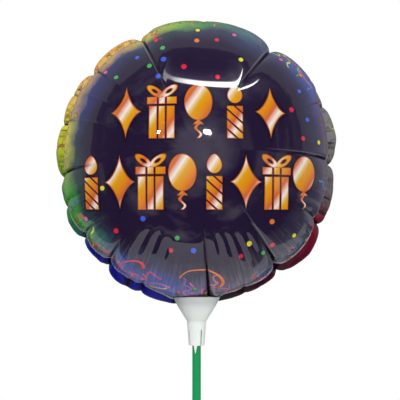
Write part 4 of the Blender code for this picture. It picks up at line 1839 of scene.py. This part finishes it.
@dataclass
class Stick:
    """The green plastic tube."""

    length: float
    radius: float
    wall: float = 0.7 * MM
    ease: float = 0.15 * MM
    sides: int = 96

    def build(self) -> bpy.types.Object:
        """The tube: a turned section with eased corners at both ends.

        Returns:
            The tube's object.
        """
        bore, e = self.radius - self.wall, self.ease
        rise = np.linspace(e, self.length - e, 40)
        outside = np.stack([np.full_like(rise, self.radius), rise], axis=-1)
        inside = np.stack([np.full_like(rise, bore), rise[::-1]], axis=-1)
        top = [(self.radius - e, self.length), (bore + e, self.length)]
        bottom = [(bore + e, 0.0), (self.radius - e, 0.0)]
        return turned_mesh("green_tube", np.concatenate([outside, top, inside, bottom]), self.sides)

    def material(self) -> bpy.types.Material:
        """Green extruded plastic: streaks and fine draw lines along the tube, and a slight mottle.

        Returns:
            The finished material.
        """
        finish = Finish("stick_green_plastic", roughness=0.36, ior=1.36, subsurface=0.05)
        material, s, surface = finish.material()
        x, y, z = s.split(s.place())
        streak = s.noise(s.join(x * 900, y * 900, z * 14), 1.0, 3.0)
        mottle = s.noise(s.join(x * 60, y * 60, z * 45), 1.0, 2.0)
        colour = s.mix(streak, (0.004, 0.250, 0.068), (0.010, 0.365, 0.118))
        colour = s.mix(mottle * 0.35, colour, (0.008, 0.26, 0.095))
        feed(surface, Base_Color=colour, Roughness=mottle * 0.16 + 0.28)
        feed(surface, Normal=s.bump(streak, 0.22, 0.05 * MM))
        return material


def dress_valve(nodes: Sequence[str]) -> None:
    """Gives the valve's plies their clear soft film, with a milky mottle.

    Args:
        nodes: names of the plies' CAD nodes.
    """
    material, s, surface = Finish("valve_clear_film", roughness=0.22, ior=1.45).material()
    cloud = s.noise(s.place(), 260, 3.0)
    milky = s.mix(cloud, (0.62, 0.66, 0.68), (0.80, 0.83, 0.84))
    feed(surface, Base_Color=milky, Roughness=cloud * 0.2 + 0.15)
    for name in nodes:
        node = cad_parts[name]
        node.data.materials.clear()
        node.data.materials.append(material)


# ---------------------------------------------------------------- studio


TENT_STOPS = (
    (0.00, (0.20, 0.20, 0.21)), (0.16, (0.30, 0.30, 0.31)), (0.30, (0.62, 0.63, 0.64)),
    (0.50, (0.58, 0.59, 0.61)), (0.69, (0.52, 0.52, 0.55)), (0.703, (0.150, 0.145, 0.165)),
    (0.76, (0.100, 0.095, 0.115)), (0.86, (0.050, 0.046, 0.058)), (1.00, (0.022, 0.020, 0.026)),
)


@dataclass
class Studio:
    """Floor, world, lamps and camera."""

    rim_z: float
    balloon_middle: float
    camera_distance: float = 0.620
    camera_side: float = 2.2 * MM
    camera_pitch: float = 5.8
    tent_dip: float = 2.0
    arc_level: float = 26.0
    half_view: float = 130.6 * MM
    floor_half: float = 1.2
    floor_front: float = -0.52
    floor_back: float = 0.20
    front_left: float = 0.34
    front_right: float = 0.275
    wide_from: float = -0.15

    def world(self) -> None:
        """A pale tent with a dim front, where the camera stands.

        A camera ray sees plain white. For other rays the tent's brightness follows the direction: a
        dim cone opens forwards, with an uneven edge.
        """
        world = bpy.data.worlds.new("tent")
        bpy.context.scene.world = world
        world.use_nodes = True
        s = Shader(world.node_tree)
        way = s.node("ShaderNodeTexCoord", {}, {}, "Generated")
        x, y, z = s.split(way)
        ragged = (s.noise(way, 11.0, 4.0, 0.65) - 0.5) * 0.16 + (s.noise(way, 2.2, 2.0) - 0.5) * 0.08
        dip = math.radians(self.tent_dip)
        ahead = y * -math.cos(dip) - z * math.sin(dip)
        light = s.ramp(ahead * 0.5 + 0.5 + ragged * 0.5, TENT_STOPS)
        cloud = (s.noise(way, 3.4, 4.0, 0.6) - 0.49).most(0.0) * ahead.above(0.6, 0.4) * 3.6
        light = s.mix(1.0, light, s.join(cloud, cloud, cloud), "ADD")
        corner = z.below(-0.14, 0.12) * abs(x + 0.06).above(0.41, 0.14)
        light = s.mix(corner * 0.90, light, (0.03, 0.028, 0.036))
        arc = self.arc(x, y, z)
        light = s.mix(1.0, light, s.join(arc, arc, arc), "ADD")
        paths = s.node("ShaderNodeLightPath", {}, {}, "Is Camera Ray")
        tent = s.node("ShaderNodeBackground", {}, {"Color": light, "Strength": 0.85})
        white = s.node("ShaderNodeBackground", {}, {"Color": (1.0, 1.0, 1.0), "Strength": 1.0})
        both = s.node("ShaderNodeMixShader", {}, {0: paths, 1: tent, 2: white})
        s.node("ShaderNodeOutputWorld", {}, {"Surface": both})

    def arc(self, x: Signal, y: Signal, z: Signal) -> Signal:
        """A curved strip of light over the camera, with a sharp lower edge and a soft glow above.

        Its lower edge is rise + 0.92 turn^2, in radians, turn being counted from its middle. It is
        thickest in the middle and dims towards its left end.

        Args:
            x: the direction's part to the right.
            y: its part away from the camera.
            z: its upward part.

        Returns:
            The light that the strip adds.
        """
        middle, low, reach = math.radians(5.6), math.radians(30.6), math.radians(30.0)
        turn = x.math("ARCTAN2", y * -1) - middle
        above = z.math("ARCSINE") - turn * turn * 0.92 - low
        taper = 1 - turn * turn * (1 / reach**2)
        strip = (taper.most(0.0) ** 0.7 * math.radians(2.9) - above).above(0.0, 0.014)
        glow = (1 - above * (1 / math.radians(13))).most(0.0) ** 3.0 * 0.035
        dim = turn.above(-0.20, 0.26) * 0.86 + 0.14
        return (strip * dim + glow) * above.above(0.0, 0.008) * taper.above(0.0, 0.05) * self.arc_level

    def floor(self) -> None:
        """A pale table top under the stick's end, with a slight mottle. Its front part is narrower."""
        outline = (
            (-self.front_left, self.floor_front), (self.front_right, self.floor_front),
            (self.front_right, self.wide_from), (self.floor_half, self.wide_from),
            (self.floor_half, self.floor_back), (-self.floor_half, self.floor_back),
            (-self.floor_half, self.wide_from), (-self.front_left, self.wide_from),
        )
        points = np.array([(x, y, -0.4 * MM) for x, y in outline])
        floor = add_mesh("table_top", points, [(0, 1, 2, 3, 4, 5, 6, 7)])
        material, s, surface = Finish("table_top_pale", roughness=0.55).material()
        mottle = s.noise(s.place(), 9.0, 3.0)
        feed(surface, Base_Color=s.mix(mottle, (0.86, 0.86, 0.86), (0.92, 0.92, 0.92)))
        floor.data.materials.append(material)

    def lamp(self, name: str, turn: float, rise: float, away: float, size: tuple[float, float], watts: float,
             mirrored: bool = True) -> None:
        """One rectangular lamp that points at the balloon's middle.

        Args:
            name: the lamp's name.
            turn: degrees to the right of straight ahead, seen from the balloon's front.
            rise: degrees above level.
            away: its distance from the balloon's middle.
            size: its width and height.
            watts: its power.
            mirrored: whether glossy surfaces show it.
        """
        data = bpy.data.lights.new(name, "AREA")
        data.shape, data.size, data.size_y, data.energy = "RECTANGLE", *size, watts
        lamp = bpy.data.objects.new(name, data)
        az, up = math.radians(turn), math.radians(rise)
        way = Vector((math.sin(az) * math.cos(up), -math.cos(az) * math.cos(up), math.sin(up)))
        lamp.location = Vector((0.0, 0.0, self.balloon_middle)) + way * away
        lamp.rotation_euler = (-way).to_track_quat("-Z", "Y").to_euler()
        lamp.visible_glossy = mirrored
        bpy.context.scene.collection.objects.link(lamp)

    def lamps(self) -> None:
        """A wide soft key and fill that gloss doesn't show, and two small flashes."""
        self.lamp("soft_key", -39, 34, 1.75, (1.2, 1.2), 20.0, mirrored=False)
        self.lamp("soft_fill", 40, -3, 1.6, (1.2, 1.0), 12.0, mirrored=False)
        self.lamp("flash", 2.2, 11.8, 0.8, (0.020, 0.013), 0.14)
        self.lamp("side_flash", -12.0, 12.9, 0.8, (0.012, 0.012), 0.06)

    def camera(self) -> None:
        """A camera level with the cup's rim, pitched up a little, at the photograph's viewing angle."""
        data = bpy.data.cameras.new("camera")
        along = self.camera_distance / math.cos(math.radians(self.camera_pitch))
        data.sensor_width = 36.0
        data.lens = data.sensor_width / 2 * along / self.half_view
        data.clip_start = 0.05
        camera = bpy.data.objects.new("camera", data)
        camera.location = (self.camera_side, -self.camera_distance, self.rim_z)
        camera.rotation_euler = (math.radians(90 + self.camera_pitch), 0.0, 0.0)
        bpy.context.scene.collection.objects.link(camera)
        bpy.context.scene.camera = camera


def corners(node: str) -> tuple[Vector, Vector]:
    """A CAD node's lowest and highest corners, as vectors."""
    low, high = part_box(node)
    return Vector(low), Vector(high)


def build_balloon(rim_z: float, rim_radius: float) -> FilmShape:
    """Builds and dresses both films.

    Args:
        rim_z: height of the cup's rim.
        rim_radius: the rim's outer radius.

    Returns:
        The shape that both films share.
    """
    shape = FilmShape(rim_z=rim_z, rim_radius=rim_radius, middle=rim_z + MIDDLE_OVER_RIM)
    front = Film(shape, Side.FRONT, "front_foil", "front_film", "front_print")
    back = Film(shape, Side.BACK, "back_foil", "back_film", "back_print")
    stencils = cut_stencils()
    gloss = {"roughness": 0.24, "coat": 1.0, "coat_roughness": 0.03, "ior": 1.12, "coat_ior": 1.65}
    front_ink = Finish("front_print_ink", **gloss)
    front_print = PartyPrint(front_ink, front.flat_span, stencils, FRONT_RIM, FRONT_MID)
    matter = {"roughness": 0.32, "coat": 0.35, "coat_roughness": 0.05, "ior": 1.06, "coat_ior": 1.22}
    back_ink = Finish("back_print_ink", **matter)
    own = {"rim_metal": 0.06, "streak_from": 400.0, "curly_above": 4.0}
    back_print = WreathPrint(back_ink, back.flat_span, stencils, BACK_RIM, BACK_MID, **own)
    front.dress(front.build(), front_print.material())
    back.dress(back.build(), back_print.material())
    return shape


def main() -> None:
    logging.basicConfig(level=logging.INFO, format="%(message)s")
    cup_low, cup_high = corners("cup")
    stick_low, stick_high = corners("stick")
    stick_radius = stick_high.x
    socket_end = stick_high.z - STICK_IN_SOCKET

    shape = build_balloon(cup_high.z, cup_high.x)
    dress_valve(("valve_front_ply", "valve_back_ply"))

    cup = Cup(cup_high.z, cup_high.x, socket_end + SHOULDER_OVER_END, socket_end, stick_radius)
    moulded = cup.build()
    moulded.data.materials.clear()
    moulded.data.materials.append(cup.material())
    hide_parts("cup")
    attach(moulded, "cup")
    LOG.info("%s: %d faces", moulded.name, len(moulded.data.polygons))

    stick = Stick(stick_high.z, stick_radius)
    tube = stick.build()
    tube.data.materials.append(stick.material())
    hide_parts("stick")
    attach(tube, "stick")
    LOG.info("%s: %d faces", tube.name, len(tube.data.polygons))

    studio = Studio(rim_z=cup_high.z, balloon_middle=shape.middle)
    studio.world()
    studio.floor()
    studio.lamps()
    studio.camera()
    bpy.context.scene.view_settings.view_transform = "Standard"


if __name__ == "__main__":
    main()
